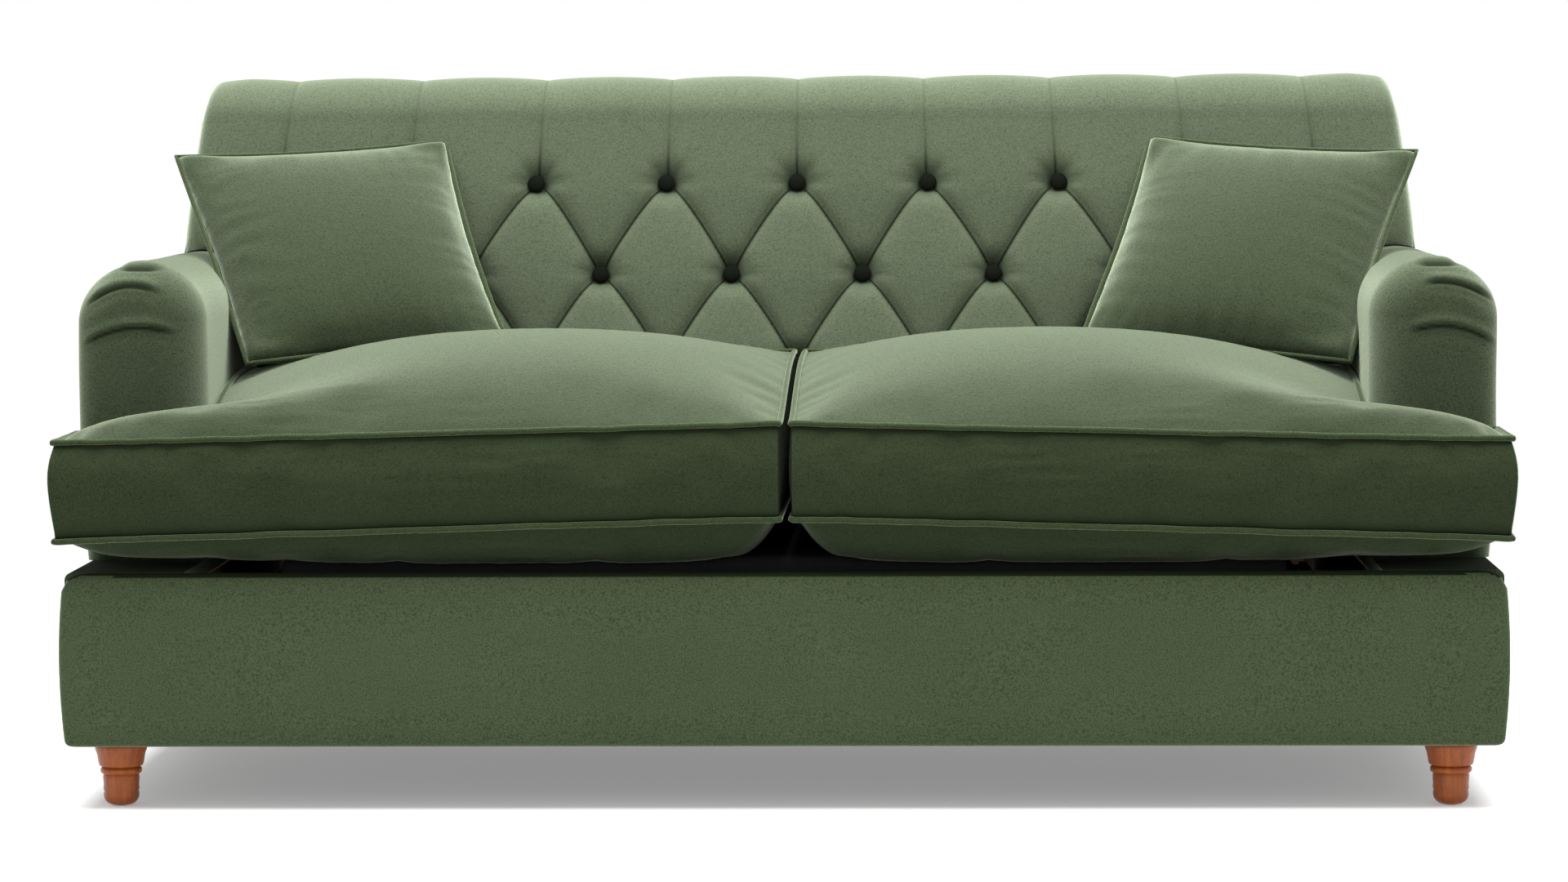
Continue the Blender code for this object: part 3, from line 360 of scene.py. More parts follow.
def swept(around, along, place, closed=True, plan=None):
    """A skin whose point (i, j), on ring j at step i, lies at place(i, j). Its open ends are filled.
    A plan gives each point's place on the flat cloth, for patterns that follow the cloth."""
    shape = bmesh.new()
    flat = shape.verts.layers.float_vector.new("plan")
    bmesh.ops.create_grid(shape, x_segments=around, y_segments=along, size=1.0)
    for vert in shape.verts:
        i = round((vert.co.x + 1) / 2 * around)
        j = round((vert.co.y + 1) / 2 * along)
        vert.co = place(i % around if closed else i, j)
        if plan is not None:
            vert[flat] = plan(i % around, j)
    bmesh.ops.remove_doubles(shape, verts=shape.verts, dist=0.00002)
    bmesh.ops.holes_fill(shape, edges=[e for e in shape.edges if e.is_boundary])
    return shape


SIDE_WALL = 0.020
SIDE_ROUND = 0.010
SIDE_BELLY = 0.004
SIDE_STEPS = 40
for word, side in SIDES:
    low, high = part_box("base_side_panel_" + word)
    outer = max(abs(low.x), abs(high.x))
    inner = min(abs(low.x), abs(high.x))
    wall = [(outer, low.z + SIDE_ROUND + (high.z - low.z - 2 * SIDE_ROUND) * k / 10) for k in range(1, 10)]
    section = [
        *arc((outer - SIDE_ROUND, low.z + SIDE_ROUND), SIDE_ROUND, -90, 0, 5),
        *wall,
        *arc((outer - SIDE_ROUND, high.z - SIDE_ROUND), SIDE_ROUND, 0, 90, 5),
        (inner, high.z),
        (inner, high.z - SIDE_WALL),
        (outer - SIDE_WALL, high.z - SIDE_WALL),
        (outer - SIDE_WALL, low.z),
    ]

    def side_point(i, j):
        x, z = section[i]
        y = low.y + (high.y - low.y) * j / SIDE_STEPS
        if x > outer - SIDE_ROUND / 2:
            up = 2 * (z - low.z) / (high.z - low.z) - 1
            x += SIDE_BELLY * (1 - up ** 4) * (1 - (2 * j / SIDE_STEPS - 1) ** 8)
        return side * x, y, z

    cover = new_piece("side_cover_" + word, swept(len(section), SIDE_STEPS, side_point), velvet, 40)
    shade_top(cover)
    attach(cover, "root")
    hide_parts("base_side_panel_" + word)


# Outside back: one flat velvet panel over wadding, tacked under the base and sewn along the arms
# and under the roll of the back.
def points_in(geometry):
    """The points among what a bmesh operator made."""
    return [g for g in geometry if isinstance(g, bmesh.types.BMVert)]


BACK_EDGE = 0.010
BACK_TAPER = 0.028
BACK_NOTCH = 0.005
BACK_CORNER = 0.03
low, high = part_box("outer_back")
arm_low, arm_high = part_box("arm_pad_right")
ARM_RADIUS = (arm_high.x - arm_low.x) / 2
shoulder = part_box("back_pad")[1].x
outline = [
    (high.x, low.z),
    *arc((high.x - ARM_RADIUS, arm_high.z - ARM_RADIUS), ARM_RADIUS, 0, 60, 8),
    (shoulder, arm_high.z - BACK_NOTCH),
    *arc((shoulder - BACK_TAPER - BACK_CORNER, high.z - BACK_CORNER), BACK_CORNER, 0, 90, 6),
]
outline += [(-x, z) for x, z in reversed(outline)]
shape = bmesh.new()
panel = shape.faces.new([shape.verts.new((x, low.y, z)) for x, z in outline])
rear = points_in(bmesh.ops.extrude_face_region(shape, geom=[panel])["geom"])
bmesh.ops.translate(shape, verts=rear, vec=(0, high.y - low.y, 0))
rim = [e for e in shape.edges if all(v.co.y > high.y - 0.001 for v in e.verts)]
bmesh.ops.bevel(shape, geom=rim, offset=BACK_EDGE, segments=4, profile=0.5, affect="EDGES", material=-1)
outside_back = new_piece("outside_back", shape, velvet, 40)
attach(outside_back, "root")
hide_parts("outer_back")


# Turned feet: beech, stained red-brown and lacquered, screwed up into the rails. Each has a cup
# under the base, a bead and a long rounded toe.
foot_wood = Finish("stained beech", Coat_Weight=0.12, Coat_Roughness=0.3)
foot_wood.shader.inputs["Specular IOR Level"].default_value = 0.25
foot_grain = foot_wood.noise(160.0, 4.0, (1, 1, 0.10))
foot_pores = foot_wood.noise(900.0, 2.0, (1, 1, 0.06))
foot_colour = foot_wood.wire.node("ValToRGB", {"stops": (
    (0.20, (0.110, 0.022, 0.003)),
    (0.50, (0.215, 0.048, 0.006)),
    (0.80, (0.310, 0.084, 0.012)),
)}, {"Fac": foot_grain * 0.75 + foot_pores * 0.25})
foot_lacquer = foot_wood.feed(
    bump=foot_pores, depth=0.0003, Base_Color=foot_colour, Roughness=0.30 + foot_pores * 0.15
)
FOOT_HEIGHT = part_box("foot_front_left")[1].z
foot_profile = [
    (0.0, FOOT_HEIGHT),
    (0.033, FOOT_HEIGHT),
    (0.035, FOOT_HEIGHT - 0.004),
    (0.0345, FOOT_HEIGHT - 0.009),
    (0.0322, FOOT_HEIGHT - 0.015),
    (0.0300, 0.0570),
    (0.0288, 0.0540),
    (0.0262, 0.0528),
    *arc((0.0228, 0.0475), 0.0050, 70, -70, 8),
    (0.0234, 0.0418),
    (0.0244, 0.0395),
    (0.0240, 0.0330),
    (0.0236, 0.0285),
    (0.0240, 0.0225),
    *arc((0.0100, 0.0150), 0.0138, 20, -80, 9),
    (0.0060, 0.0),
    (0.0, 0.0),
]


def turned(profile, middle, steps):
    """A round shape about an upright line, from radii and heights."""
    shape = bmesh.new()
    line = [shape.verts.new((middle.x + r, middle.y, z)) for r, z in profile]
    edges = [shape.edges.new(pair) for pair in zip(line, line[1:])]
    bmesh.ops.spin(
        shape, geom=line + edges, cent=middle, axis=(0, 0, 1), angle=math.tau, steps=steps, use_merge=True
    )
    return shape


for end in ("front", "rear"):
    for word, _ in SIDES:
        low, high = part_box(f"foot_{end}_{word}")
        shape = turned(foot_profile, (low + high) / 2, 48)
        foot = new_piece(f"turned_foot_{end}_{word}", shape, foot_lacquer, 50)
        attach(foot, "root")
        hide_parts(f"foot_{end}_{word}")


# Roll arms: velvet over a padded arch. The cover runs over the top and down the front, where its
# fullness is taken up in three folds that fan in from the outer edge, with painted shade along their
# creases.
def sewn_shade(attribute, strength, power=1.0):
    """Painted shade in creases, as dark as a piece's attribute says. A high power keeps it narrow."""
    def shade(cloth):
        share = cloth.wire.node("Attribute", {"attribute_name": attribute}, output="Fac")
        return cloth.wire.work("POWER", share, power) * strength
    return shade


# The arm's copy is darker than the base's: partly the pile, partly painted shade for how light falls. Its
# creases carry painted shade along the folds.
arm_velvet = sage_velvet("arm velvet", 0.40, 0.50, 0.2, 0.55, sewn_shade("fold", 0.85))
ARM_OUTER_ROLL = (0.030, 0.030)
ARM_INNER_ROLL = (0.074, 0.074)
ARM_PLEATS = {
    "left": (((-0.905, 0.712), (-0.850, 0.711)),
             ((-0.943, 0.664), (-0.903, 0.686), (-0.852, 0.682)),
             ((-0.946, 0.612), (-0.874, 0.633), (-0.835, 0.627))),
    "right": (((0.905, 0.712), (0.850, 0.712)),
              ((0.943, 0.668), (0.880, 0.688), (0.860, 0.686)),
              ((0.946, 0.610), (0.862, 0.627), (0.842, 0.621))),
}
ARM_PUFF = 0.009
ARM_RIPPLE = 0.0015
ARM_SIDE_STEPS = 90
ARM_TOP_STEPS = 90
ARM_LONG_STEPS = 36
ARM_ROLL_STEPS = 26
ARM_FACE_STEPS = 30
# The height of each part of a fold, how far above the crease it lies, and how wide it is
FOLD_RIDGE = (0.0035, 0.006, 0.008)
FOLD_CREASE = (0.0045, 0.0, 0.0030)
FOLD_UNDER = (0.0015, -0.009, 0.008)
# How wide the painted shade along a fold's crease is
FOLD_SHADE_WIDTH = 0.0026
# How far a fold runs on past its left and right end, and the length over which it fades there
FOLD_LEFT_END = (0.004, 0.018)
FOLD_RIGHT_END = (0.012, 0.022)
# How far behind the arm's front the folds keep their depth, and the length over which they fade
FOLD_FULL = 0.04
FOLD_FADE = 0.08
FOLD_LOW = 0.01


def fold_at(x, z, line):
    """How far a fold lifts or sinks the cover at a place on an arm's front, and the painted shade there."""
    first = min(point[0] for point in line)
    last = max(point[0] for point in line)
    ends = clamp((x - first + FOLD_LEFT_END[0]) / FOLD_LEFT_END[1])
    ends *= clamp((last - x + FOLD_RIGHT_END[0]) / FOLD_RIGHT_END[1])
    if ends <= 0:
        return 0.0, 0.0
    # The fold's height is the one smooth curve through its points.
    height = 0.0
    for here in line:
        share = math.prod((x - there[0]) / (here[0] - there[0]) for there in line if there is not here)
        height += here[1] * share
    above = z - height
    ridge, crease, under = (
        size * bell(above - rise, width) for size, rise, width in (FOLD_RIDGE, FOLD_CREASE, FOLD_UNDER)
    )
    return ends * (ridge - crease - under), ends * bell(above, FOLD_SHADE_WIDTH)


for word, side in SIDES:
    low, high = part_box("arm_pad_" + word)
    middle = (low.x + high.x) / 2
    half = (high.x - low.x) / 2
    spring = high.z - half
    around = 2 * ARM_SIDE_STEPS + ARM_TOP_STEPS
    along = ARM_LONG_STEPS + ARM_ROLL_STEPS + ARM_FACE_STEPS

    def arm_point(i, j):
        inward = clamp((i - ARM_SIDE_STEPS) / ARM_TOP_STEPS)
        roll, depth = (a + (b - a) * inward for a, b in zip(ARM_OUTER_ROLL, ARM_INNER_ROLL))
        if j <= ARM_LONG_STEPS:
            inset = 0.0
            y = high.y + (low.y + depth - high.y) * j / ARM_LONG_STEPS
        elif j <= ARM_LONG_STEPS + ARM_ROLL_STEPS:
            turn = math.pi / 2 * (j - ARM_LONG_STEPS) / ARM_ROLL_STEPS
            inset = roll * (1 - math.cos(turn))
            y = low.y + depth * (1 - math.sin(turn))
        else:
            inset = roll + (half - roll) * (j - ARM_LONG_STEPS - ARM_ROLL_STEPS) / ARM_FACE_STEPS
            y = low.y
        reach = half - inset
        if i <= ARM_SIDE_STEPS:
            share = i / ARM_SIDE_STEPS
            x, z = reach, low.z + (spring - low.z) * share
            x += ARM_PUFF * math.sin(math.pi / 2 * min(1.0, 2 * share)) * reach / half
        elif i <= ARM_SIDE_STEPS + ARM_TOP_STEPS:
            turn = math.pi * (i - ARM_SIDE_STEPS) / ARM_TOP_STEPS
            x, z = reach * math.cos(turn), spring + reach * math.sin(turn)
            x += ARM_PUFF * max(0.0, math.cos(turn)) * reach / half
        else:
            share = 1 - (i - ARM_SIDE_STEPS - ARM_TOP_STEPS) / ARM_SIDE_STEPS
            x, z = -reach, low.z + (spring - low.z) * share
        return middle + side * x, y, z

    shape = swept(around, along, arm_point, closed=False)
    fold = shape.verts.layers.float.new("fold")
    shape.normal_update()
    bmesh.ops.recalc_face_normals(shape, faces=shape.faces)
    for vert in shape.verts:
        if vert.co.y < low.y + FOLD_FULL + FOLD_FADE and vert.co.z > low.z + FOLD_LOW:
            near = 1 - max(0.0, (vert.co.y - low.y - FOLD_FULL) / FOLD_FADE)
            lifts = [fold_at(vert.co.x, vert.co.z, line) for line in ARM_PLEATS[word]]
            vert.co += vert.normal * sum(lift for lift, _ in lifts) * near
            # The fold attribute carries the painted shade along each crease.
            vert[fold] = max(dark for _, dark in lifts) * near
        vert.co += vert.normal * ARM_RIPPLE * noise.noise(vert.co * 9)
    arm = new_piece("roll_arm_" + word, shape, arm_velvet, 70)
    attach(arm, "root")
    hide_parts("arm_pad_" + word)


# Back pad: velvet over deep filling, drawn down by buttons in rows of nine, eight and nine. Folds
# run from button to button in diamonds, and straight up over the rolled top from the first row.
BUTTON_PITCH = 0.191
BUTTON_TOP_ROW = 0.814
BUTTON_ROW_DROP = 0.132
BACK_LEAN = math.radians(12)
GAP = 0.0006
ARM_PLAY = 0.0012
pad_low, pad_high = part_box("back_pad")
PAD_FRONT = 0.248
PAD_BOTTOM = pad_low.z
PAD_HEM = 0.008
PAD_UNDER = 0.010
PAD_SIDE_ROUND = 0.022
POST_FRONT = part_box("back_post_left")[0].y - GAP
COVER_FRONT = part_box("outer_back")[0].y - GAP
arm_low, arm_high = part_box("arm_pad_right")
# The roll along the top, the lip that rests on the outside back, and the drawing in of the ends
PAD_ROLL = 0.060
PAD_ROLL_LOW = 0.904
PAD_ROLL_LEAST = 0.10
PAD_REST = 0.9173
PAD_REST_LIP = 0.012
PAD_REST_TUCK = 0.010
PAD_REST_PLAY = 0.001
PAD_TAPER = 0.030
PAD_TAPER_LOW = 0.72
PAD_TAPER_BEND = 1.3
PAD_FRONT_STEPS = 140
PAD_ROLL_STEPS = 30
PAD_BACK_STEPS = 24
PAD_COLUMNS = 400
SHOULDER_COLUMNS = 18
SHOULDER_START = 0.0005
# The filling's shares: flat, crowned in each diamond, and standing up beside the folds
PAD_SWELL = 0.028
PAD_FLAT_SHARE, PAD_CROWN_SHARE, PAD_FLANK_SHARE = 0.50, 0.36, 0.14
PAD_FLANK = 0.010
PAD_FOLD = 0.0025
PAD_FOLD_WIDTH = 0.0050
FOLD_BEND = 0.80
TOP_FOLD_LOSS, TOP_FOLD_FADE = 0.5, 0.1
PAD_DIP = 0.020
PAD_DIP_REACH = 0.022
# Puckers round a button: a pleat above and below it, and a fan of smaller ones
PUCKER_DEPTH = 0.0016
PUCKER_START = 0.014
PLEAT_RISE, PLEAT_WIDTH, PLEAT_LENGTH = 0.004, 0.0045, 0.038
FAN_SHARE, FAN_COUNT, FAN_REACH = 0.5, 8, 0.040
# Painted shade: dark lines along the folds, rings round the buttons and pulls beside them
CREASE_SPACING, CREASE_WIDTH, CREASE_SHADE = 0.165, 0.0021, 0.90
CREASE_TOP_FADE, CREASE_TOP_LEAST = 1.4, 0.25
RING_REACH, RING_SHADE = 0.017, 0.95
PULL_HEIGHT, PULL_LENGTH, PULL_SHADE = 0.0022, 0.028, 0.6
CREASED_PITCHES = 4.5
OFF_PLAN = 1.2
lean_out = Vector((0.0, -math.cos(BACK_LEAN), math.sin(BACK_LEAN)))


def pad_line(z):
    """The y of the pad's plain front at a height."""
    return PAD_FRONT + (z - PAD_BOTTOM) * math.tan(BACK_LEAN)


def pad_swell(x, z):
    """How far the filling stands out of the folds at a place on the front."""
    fall = min(max((BUTTON_TOP_ROW - z) / BUTTON_ROW_DROP, 0.0), 1.9999)
    # The folds leave each button sideways and run steeply into the next one below.
    drop = (int(fall) + (fall % 1) ** FOLD_BEND) / 2
    one = x / BUTTON_PITCH + drop
    two = x / BUTTON_PITCH - drop
    slant = math.hypot(1 / BUTTON_PITCH, 0.5 / BUTTON_ROW_DROP if fall > 0 else 0.0)
    to_one = abs(one - round(one)) / slant
    to_two = abs(two - round(two)) / slant
    crown = math.sqrt(abs(math.sin(math.pi * one) * math.sin(math.pi * two)))
    flank = 1 - math.exp(-min(to_one, to_two) / PAD_FLANK)
    fold = bell(min(to_one, to_two), PAD_FOLD_WIDTH)
    if fall == 0:
        fold *= 1 - TOP_FOLD_LOSS * clamp((z - BUTTON_TOP_ROW) / TOP_FOLD_FADE)
    row = round(fall)
    shift = 0.5 if row == 1 else 0.0
    dx = (x / BUTTON_PITCH - shift - round(x / BUTTON_PITCH - shift)) * BUTTON_PITCH
    dz = z - (BUTTON_TOP_ROW - row * BUTTON_ROW_DROP)
    reach = math.hypot(dx, dz)
    dip = PAD_DIP * bell(reach, PAD_DIP_REACH)
    turn = math.atan2(dz, dx)
    pucker = bell(abs(dz) - PLEAT_RISE, PLEAT_WIDTH) * bell(dx, PLEAT_LENGTH)
    pucker += FAN_SHARE * math.cos(FAN_COUNT * turn + row) * bell(reach, FAN_REACH)
    pucker *= 1 - bell(reach, PUCKER_START)
    edge = clamp((pad_high.x - abs(x)) / (BUTTON_PITCH / 3))
    body = PAD_SWELL * (PAD_FLAT_SHARE + PAD_CROWN_SHARE * crown + PAD_FLANK_SHARE * flank)
    return (body - PAD_FOLD * fold - dip - PUCKER_DEPTH * pucker) * math.sqrt(edge)


def back_crease_shade(velvet):
    """The painted shade along the folds and round the buttons, on the flat plan of the pad's cloth."""
    plan = velvet.wire.node("Attribute", {"attribute_name": "plan"}, output="Vector")
    across = velvet.wire.node("SeparateXYZ", inputs={"Vector": plan}, output="X") * (1 / BUTTON_PITCH)
    up = velvet.wire.node("SeparateXYZ", inputs={"Vector": plan}, output="Z")
    work = velvet.wire.work
    down = (BUTTON_TOP_ROW - up) * (1 / BUTTON_ROW_DROP)
    fall = work("MAXIMUM", down, 0.0)
    whole = work("FLOOR", fall, 0.0)
    drop = (whole + work("POWER", fall - whole, FOLD_BEND)) * 0.5
    one = work("PINGPONG", across + drop, 0.5)
    two = work("PINGPONG", across - drop, 0.5)
    near = work("MINIMUM", one, two) * (CREASE_SPACING / CREASE_WIDTH)
    line = work("EXPONENT", near * near * -1.0, 0.0)
    line = line * work("MAXIMUM", work("MINIMUM", 1.0 + down * CREASE_TOP_FADE, 1.0), CREASE_TOP_LEAST)
    line = line * work("LESS_THAN", work("ABSOLUTE", across, 0.0), CREASED_PITCHES)
    row = work("FLOOR", fall + 0.5, 0.0)
    dx = work("PINGPONG", across - row * 0.5, 0.5) * BUTTON_PITCH
    dz = (down - row) * BUTTON_ROW_DROP
    ring = work("EXPONENT", (dx * dx + dz * dz) * (-1 / RING_REACH ** 2), 0.0)
    pull = work("EXPONENT", dz * dz * (-1 / PULL_HEIGHT ** 2) + dx * dx * (-1 / PULL_LENGTH ** 2), 0.0)
    return work("MAXIMUM", line * CREASE_SHADE, work("MAXIMUM", ring * RING_SHADE, pull * PULL_SHADE))


# The back's copy is the lightest: partly its pile, partly painted light for how brightly the lamps fall on
# it.
back_velvet = sage_velvet("back velvet", 0.92, 0.70, 0.65, crease_shade=back_crease_shade, grain=0.9)
# The pad's section, up the front, over the roll and down the rear. Each point has its kind, which
# on the roll is its angle, and its y and z.
pad_section = []
for k in range(PAD_FRONT_STEPS):
    z = PAD_BOTTOM + PAD_HEM + (PAD_ROLL_LOW - PAD_BOTTOM - PAD_HEM) * k / PAD_FRONT_STEPS
    pad_section.append(("front", pad_line(z), z))
roll_start = pad_line(PAD_ROLL_LOW)
roll_half = (pad_high.y - roll_start) / 2
for k in range(PAD_ROLL_STEPS - 1):
    turn = math.pi * (1 - k / PAD_ROLL_STEPS)
    y = roll_start + roll_half + roll_half * math.cos(turn)
    pad_section.append((turn, y, PAD_ROLL_LOW + PAD_ROLL * math.sin(turn)))
pad_section.append(("rest", pad_high.y - GAP / 2, PAD_REST + PAD_REST_LIP))
pad_section.append(("rest", pad_high.y - PAD_REST_TUCK, PAD_REST))
for k in range(PAD_BACK_STEPS + 1):
    pad_section.append(("back", None, PAD_REST - (PAD_REST - PAD_BOTTOM) * k / PAD_BACK_STEPS))
pad_section.append(("plain", pad_line(PAD_BOTTOM) + PAD_UNDER, PAD_BOTTOM))
# Between the arms the pad goes down to the seat. Beyond them its columns stop over the arms.
wide = arm_low.x - ARM_PLAY
shoulder_run = pad_high.x - wide - SHOULDER_START
shoulders = [
    wide + SHOULDER_START + shoulder_run * k / SHOULDER_COLUMNS for k in range(SHOULDER_COLUMNS + 1)
]
pad_columns = [wide * (2 * k / PAD_COLUMNS - 1) for k in range(PAD_COLUMNS + 1)]
pad_columns = [-x for x in reversed(shoulders)] + pad_columns + shoulders


def over_arm(x):
    """The least height of the pad at a place across it."""
    if abs(x) <= wide:
        return PAD_BOTTOM
    reach = ARM_RADIUS ** 2 - (abs(x) - arm_low.x - ARM_RADIUS) ** 2
    return arm_high.z - ARM_RADIUS + math.sqrt(max(0.0, reach)) + ARM_PLAY


def pad_point(i, j):
    """Where the cover lies: its section, swollen by the filling, clear of the arms and drawn in."""
    kind, y, z = pad_section[i]
    x = pad_columns[j]
    least = over_arm(x)
    if kind == "back":
        y = POST_FRONT if abs(x) <= wide else COVER_FRONT
    elif kind in ("front", "plain") and z < least:
        y = pad_line(least) + (PAD_UNDER if kind == "plain" else 0.0)
    z = max(z, least)
    spot = Vector((x, y, z))
    if kind == "front":
        spot += lean_out * pad_swell(x, z)
    elif not isinstance(kind, str):
        turn = kind * (1 - BACK_LEAN / math.pi)
        fade = PAD_ROLL_LEAST + (1 - PAD_ROLL_LEAST) * max(0.0, -math.cos(kind))
        spot += Vector((0.0, math.cos(turn), math.sin(turn))) * fade * pad_swell(x, PAD_ROLL_LOW)
    high_up = max(0.0, (spot.z - PAD_TAPER_LOW) / (pad_high.z - PAD_TAPER_LOW))
    spot.x *= 1 - PAD_TAPER / pad_high.x * high_up ** PAD_TAPER_BEND
    if kind not in ("back", "plain"):
        turn = {"front": math.pi, "rest": 0.0}.get(kind, kind)
        drawn = rounded(PAD_SIDE_ROUND, pad_high.x - abs(x))
        spot -= Vector((0.0, math.cos(turn), math.sin(turn))) * drawn
    if kind == "rest":
        spot.y = max(spot.y, COVER_FRONT + PAD_REST_PLAY)
    spot.z = max(spot.z, least)
    return spot


def pad_plan(i, j):
    """The place on the flat cloth. What is neither front nor roll lies off the pattern."""
    kind, _, z = pad_section[i]
    return pad_columns[j], 0.0, z if kind == "front" or not isinstance(kind, str) else OFF_PLAN


shape = swept(len(pad_section), len(pad_columns) - 1, pad_point, plan=pad_plan)
back_pad = new_piece("buttoned_back", shape, back_velvet, 75)
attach(back_pad, "root")
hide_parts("back_pad")


# Buttons: velvet-covered caps sewn through the pad with twine. Each is a shallow dome with its
# rim turned under, sunk between the diamonds.
BUTTON_COUNTS = (9, 8, 9)
BUTTON_RADIUS = 0.0125
BUTTON_RISE = 0.005
BUTTON_STAND = 0.007
# Their velvet is nearly black: painted shade for the pits they sit in.
shadowed_button_velvet = sage_velvet("button velvet", 0.03, 0.01)
dome = [math.radians(angle) for angle in range(0, 91, 10)]
button_profile = [(BUTTON_RADIUS * math.sin(t), BUTTON_RISE * math.cos(t)) for t in dome]
button_profile += [(BUTTON_RADIUS - 0.001, -0.002), (BUTTON_RADIUS - 0.004, -0.004), (0.0, -0.004)]


def covered_button(row, k):
    """Button k of a row, counted from the left, where it is sewn on."""
    z = BUTTON_TOP_ROW - (row - 1) * BUTTON_ROW_DROP
    x = (k - (BUTTON_COUNTS[row - 1] - 1) / 2) * BUTTON_PITCH
    middle = Vector((x, pad_line(z), z)) + lean_out * BUTTON_STAND
    lean = Matrix.Translation(middle) @ Matrix.Rotation(math.pi / 2 - BACK_LEAN, 4, "X")
    shape = turned(button_profile, Vector(), 28)
    bmesh.ops.transform(shape, matrix=lean, verts=shape.verts)
    return shape


for row in (1, 2):
    for k in range(BUTTON_COUNTS[row - 1]):
        node = f"button_row{row}_{k + 1}"
        button = new_piece(f"covered_button_{row}_{k + 1}", covered_button(row, k), shadowed_button_velvet)
        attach(button, "root")
        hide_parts(node)


# Third row of buttons: nine more of the same, low on the pad behind the seat cushions. They are one
# piece, and no solid stands for them.
shape = bmesh.new()
for k in range(BUTTON_COUNTS[2]):
    single = covered_button(3, k)
    mesh = bpy.data.meshes.new("button")
    single.to_mesh(mesh)
    single.free()
    shape.from_mesh(mesh)
low_buttons = new_piece("covered_buttons_3", shape, shadowed_button_velvet)
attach(low_buttons, "root")


# Seat cushions: T-shaped feather-wrapped foam in velvet, with ears in front of the arms. Boxed:
# piping is sewn in round the top and the bottom of the band, and the filling crowns both faces.
SEAT_LOWER_PIPING = 0.391
SEAT_UPPER_PIPING = 0.511
SEAT_WAIST = (SEAT_LOWER_PIPING + SEAT_UPPER_PIPING) / 2
SEAT_DROOP = 0.023
SEAT_DROOP_SPAN = 0.95
SEAT_UNDER_DROOP = 1.2
SEAT_FRONT_BULGE = 0.02015
SEAT_END_BULGE = 0.0117
SEAT_REAR_RISE = 0.062
SEAT_STEP_RISE = 0.4 * SEAT_REAR_RISE
SEAT_PIPING_RADIUS = 0.0040
SEAT_BELLY_FLOOR = 0.3205
SEAT_BELLY_SAG = 0.020
SEAT_FRONT_SAG = 0.004
SEAT_CORNER_CREASE = 0.8
LYING_HEIGHT, LYING_MARGIN = 0.004, 0.006
FILL_STEPS = 20
# The seat's, band's and piping's copies are darker: partly the pile, partly painted shade for how light
# falls.
seat_velvet = sage_velvet("seat velvet", 0.29, 0.84)
# The band's copy adds painted shade in a narrow line along each piping seam.
band_velvet = sage_velvet("seat band velvet", 0.28, 0.92, crease_shade=sewn_shade("seam", 0.9, 9.0))
piping_velvet = sage_velvet("piping velvet", 0.42, 0.52)
seat_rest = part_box("mattress_c")[1].z + GAP
mattress_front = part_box("mattress_c")[0].y


def plump(cover, pressure, slack, cap, stiff, held=()):
    """Fills a cover by cloth simulation. It is cut a little larger than its shape, the held points
    are sewn down, no point moves further than the cap, and a stiff cloth wrinkles less."""
    start = [v.co.copy() for v in cover.data.vertices]
    sewn = cover.vertex_groups.new(name="sewn")
    sewn.add(list(held), 1.0, "REPLACE")
    filling = cover.modifiers.new("filling", "CLOTH")
    cloth = filling.settings
    cloth.quality = 5
    cloth.mass = 0.3
    cloth.use_pressure = True
    cloth.uniform_pressure_force = pressure
    cloth.shrink_min = -slack
    cloth.effector_weights.gravity = 0
    cloth.vertex_group_mass = "sewn"
    cloth.bending_stiffness = stiff
    filling.collision_settings.use_collision = False
    filling.point_cache.frame_end = FILL_STEPS
    for step in range(1, FILL_STEPS + 1):
        bpy.context.scene.frame_set(step)
    graph = bpy.context.evaluated_depsgraph_get()
    filled = [v.co.copy() for v in cover.evaluated_get(graph).data.vertices]
    cover.modifiers.remove(filling)
    cover.vertex_groups.remove(sewn)
    for vert, old, now in zip(cover.data.vertices, start, filled):
        move = now - old
        vert.co = old + move * min(1.0, cap / max(move.length, 1e-9))
    bpy.context.scene.frame_set(1)


def subdivided(cover, levels):
    """The same object with a subdivided mesh in place of its cage."""
    soften = cover.modifiers.new("soften", "SUBSURF")
    soften.levels = soften.render_levels = levels
    graph = bpy.context.evaluated_depsgraph_get()
    mesh = bpy.data.meshes.new_from_object(cover.evaluated_get(graph))
    cover.modifiers.remove(soften)
    cover.data = mesh
    return cover


def seam_loops(mesh):
    """The closed rows of points, in order, where the piping is sewn in."""
    seam = mesh.attributes["seam"].data
    beside = {}
    for edge in mesh.edges:
        if all(seam[v].value > 0.999 for v in edge.vertices):
            for here, there in (edge.vertices, reversed(edge.vertices)):
                beside.setdefault(here, []).append(there)
    loops = []
    while beside:
        first = next(iter(beside))
        loop = [first]
        while True:
            onward = [v for v in beside.pop(loop[-1]) if v in beside]
            if not onward:
                break
            loop.append(onward[0])
        loops.append(loop)
    return loops


def sewn_lines(mesh, loops, out):
    """The places of cord sewn along seams, standing a little out of the cover."""
    spots = mesh.vertices
    return [[spots[v].co + mesh.vertex_normals[v].vector * out for v in loop] for loop in loops]


def piping(name, lines, radius, material):
    """Covered cord sewn along closed lines of points."""
    line = bpy.data.curves.new(name, "CURVE")
    line.dimensions = "3D"
    line.bevel_depth = radius
    line.bevel_resolution = 3
    for points in lines:
        spline = line.splines.new("POLY")
        spline.points.add(len(points) - 1)
        for spot, place in zip(spline.points, points):
            spot.co = (*place, 1.0)
        spline.use_cyclic_u = True
    holder = bpy.data.objects.new(name, line)
    bpy.context.scene.collection.objects.link(holder)
    graph = bpy.context.evaluated_depsgraph_get()
    shape = bmesh.new()
    shape.from_mesh(holder.evaluated_get(graph).to_mesh())
    bpy.data.objects.remove(holder)
    return new_piece(name, shape, material)


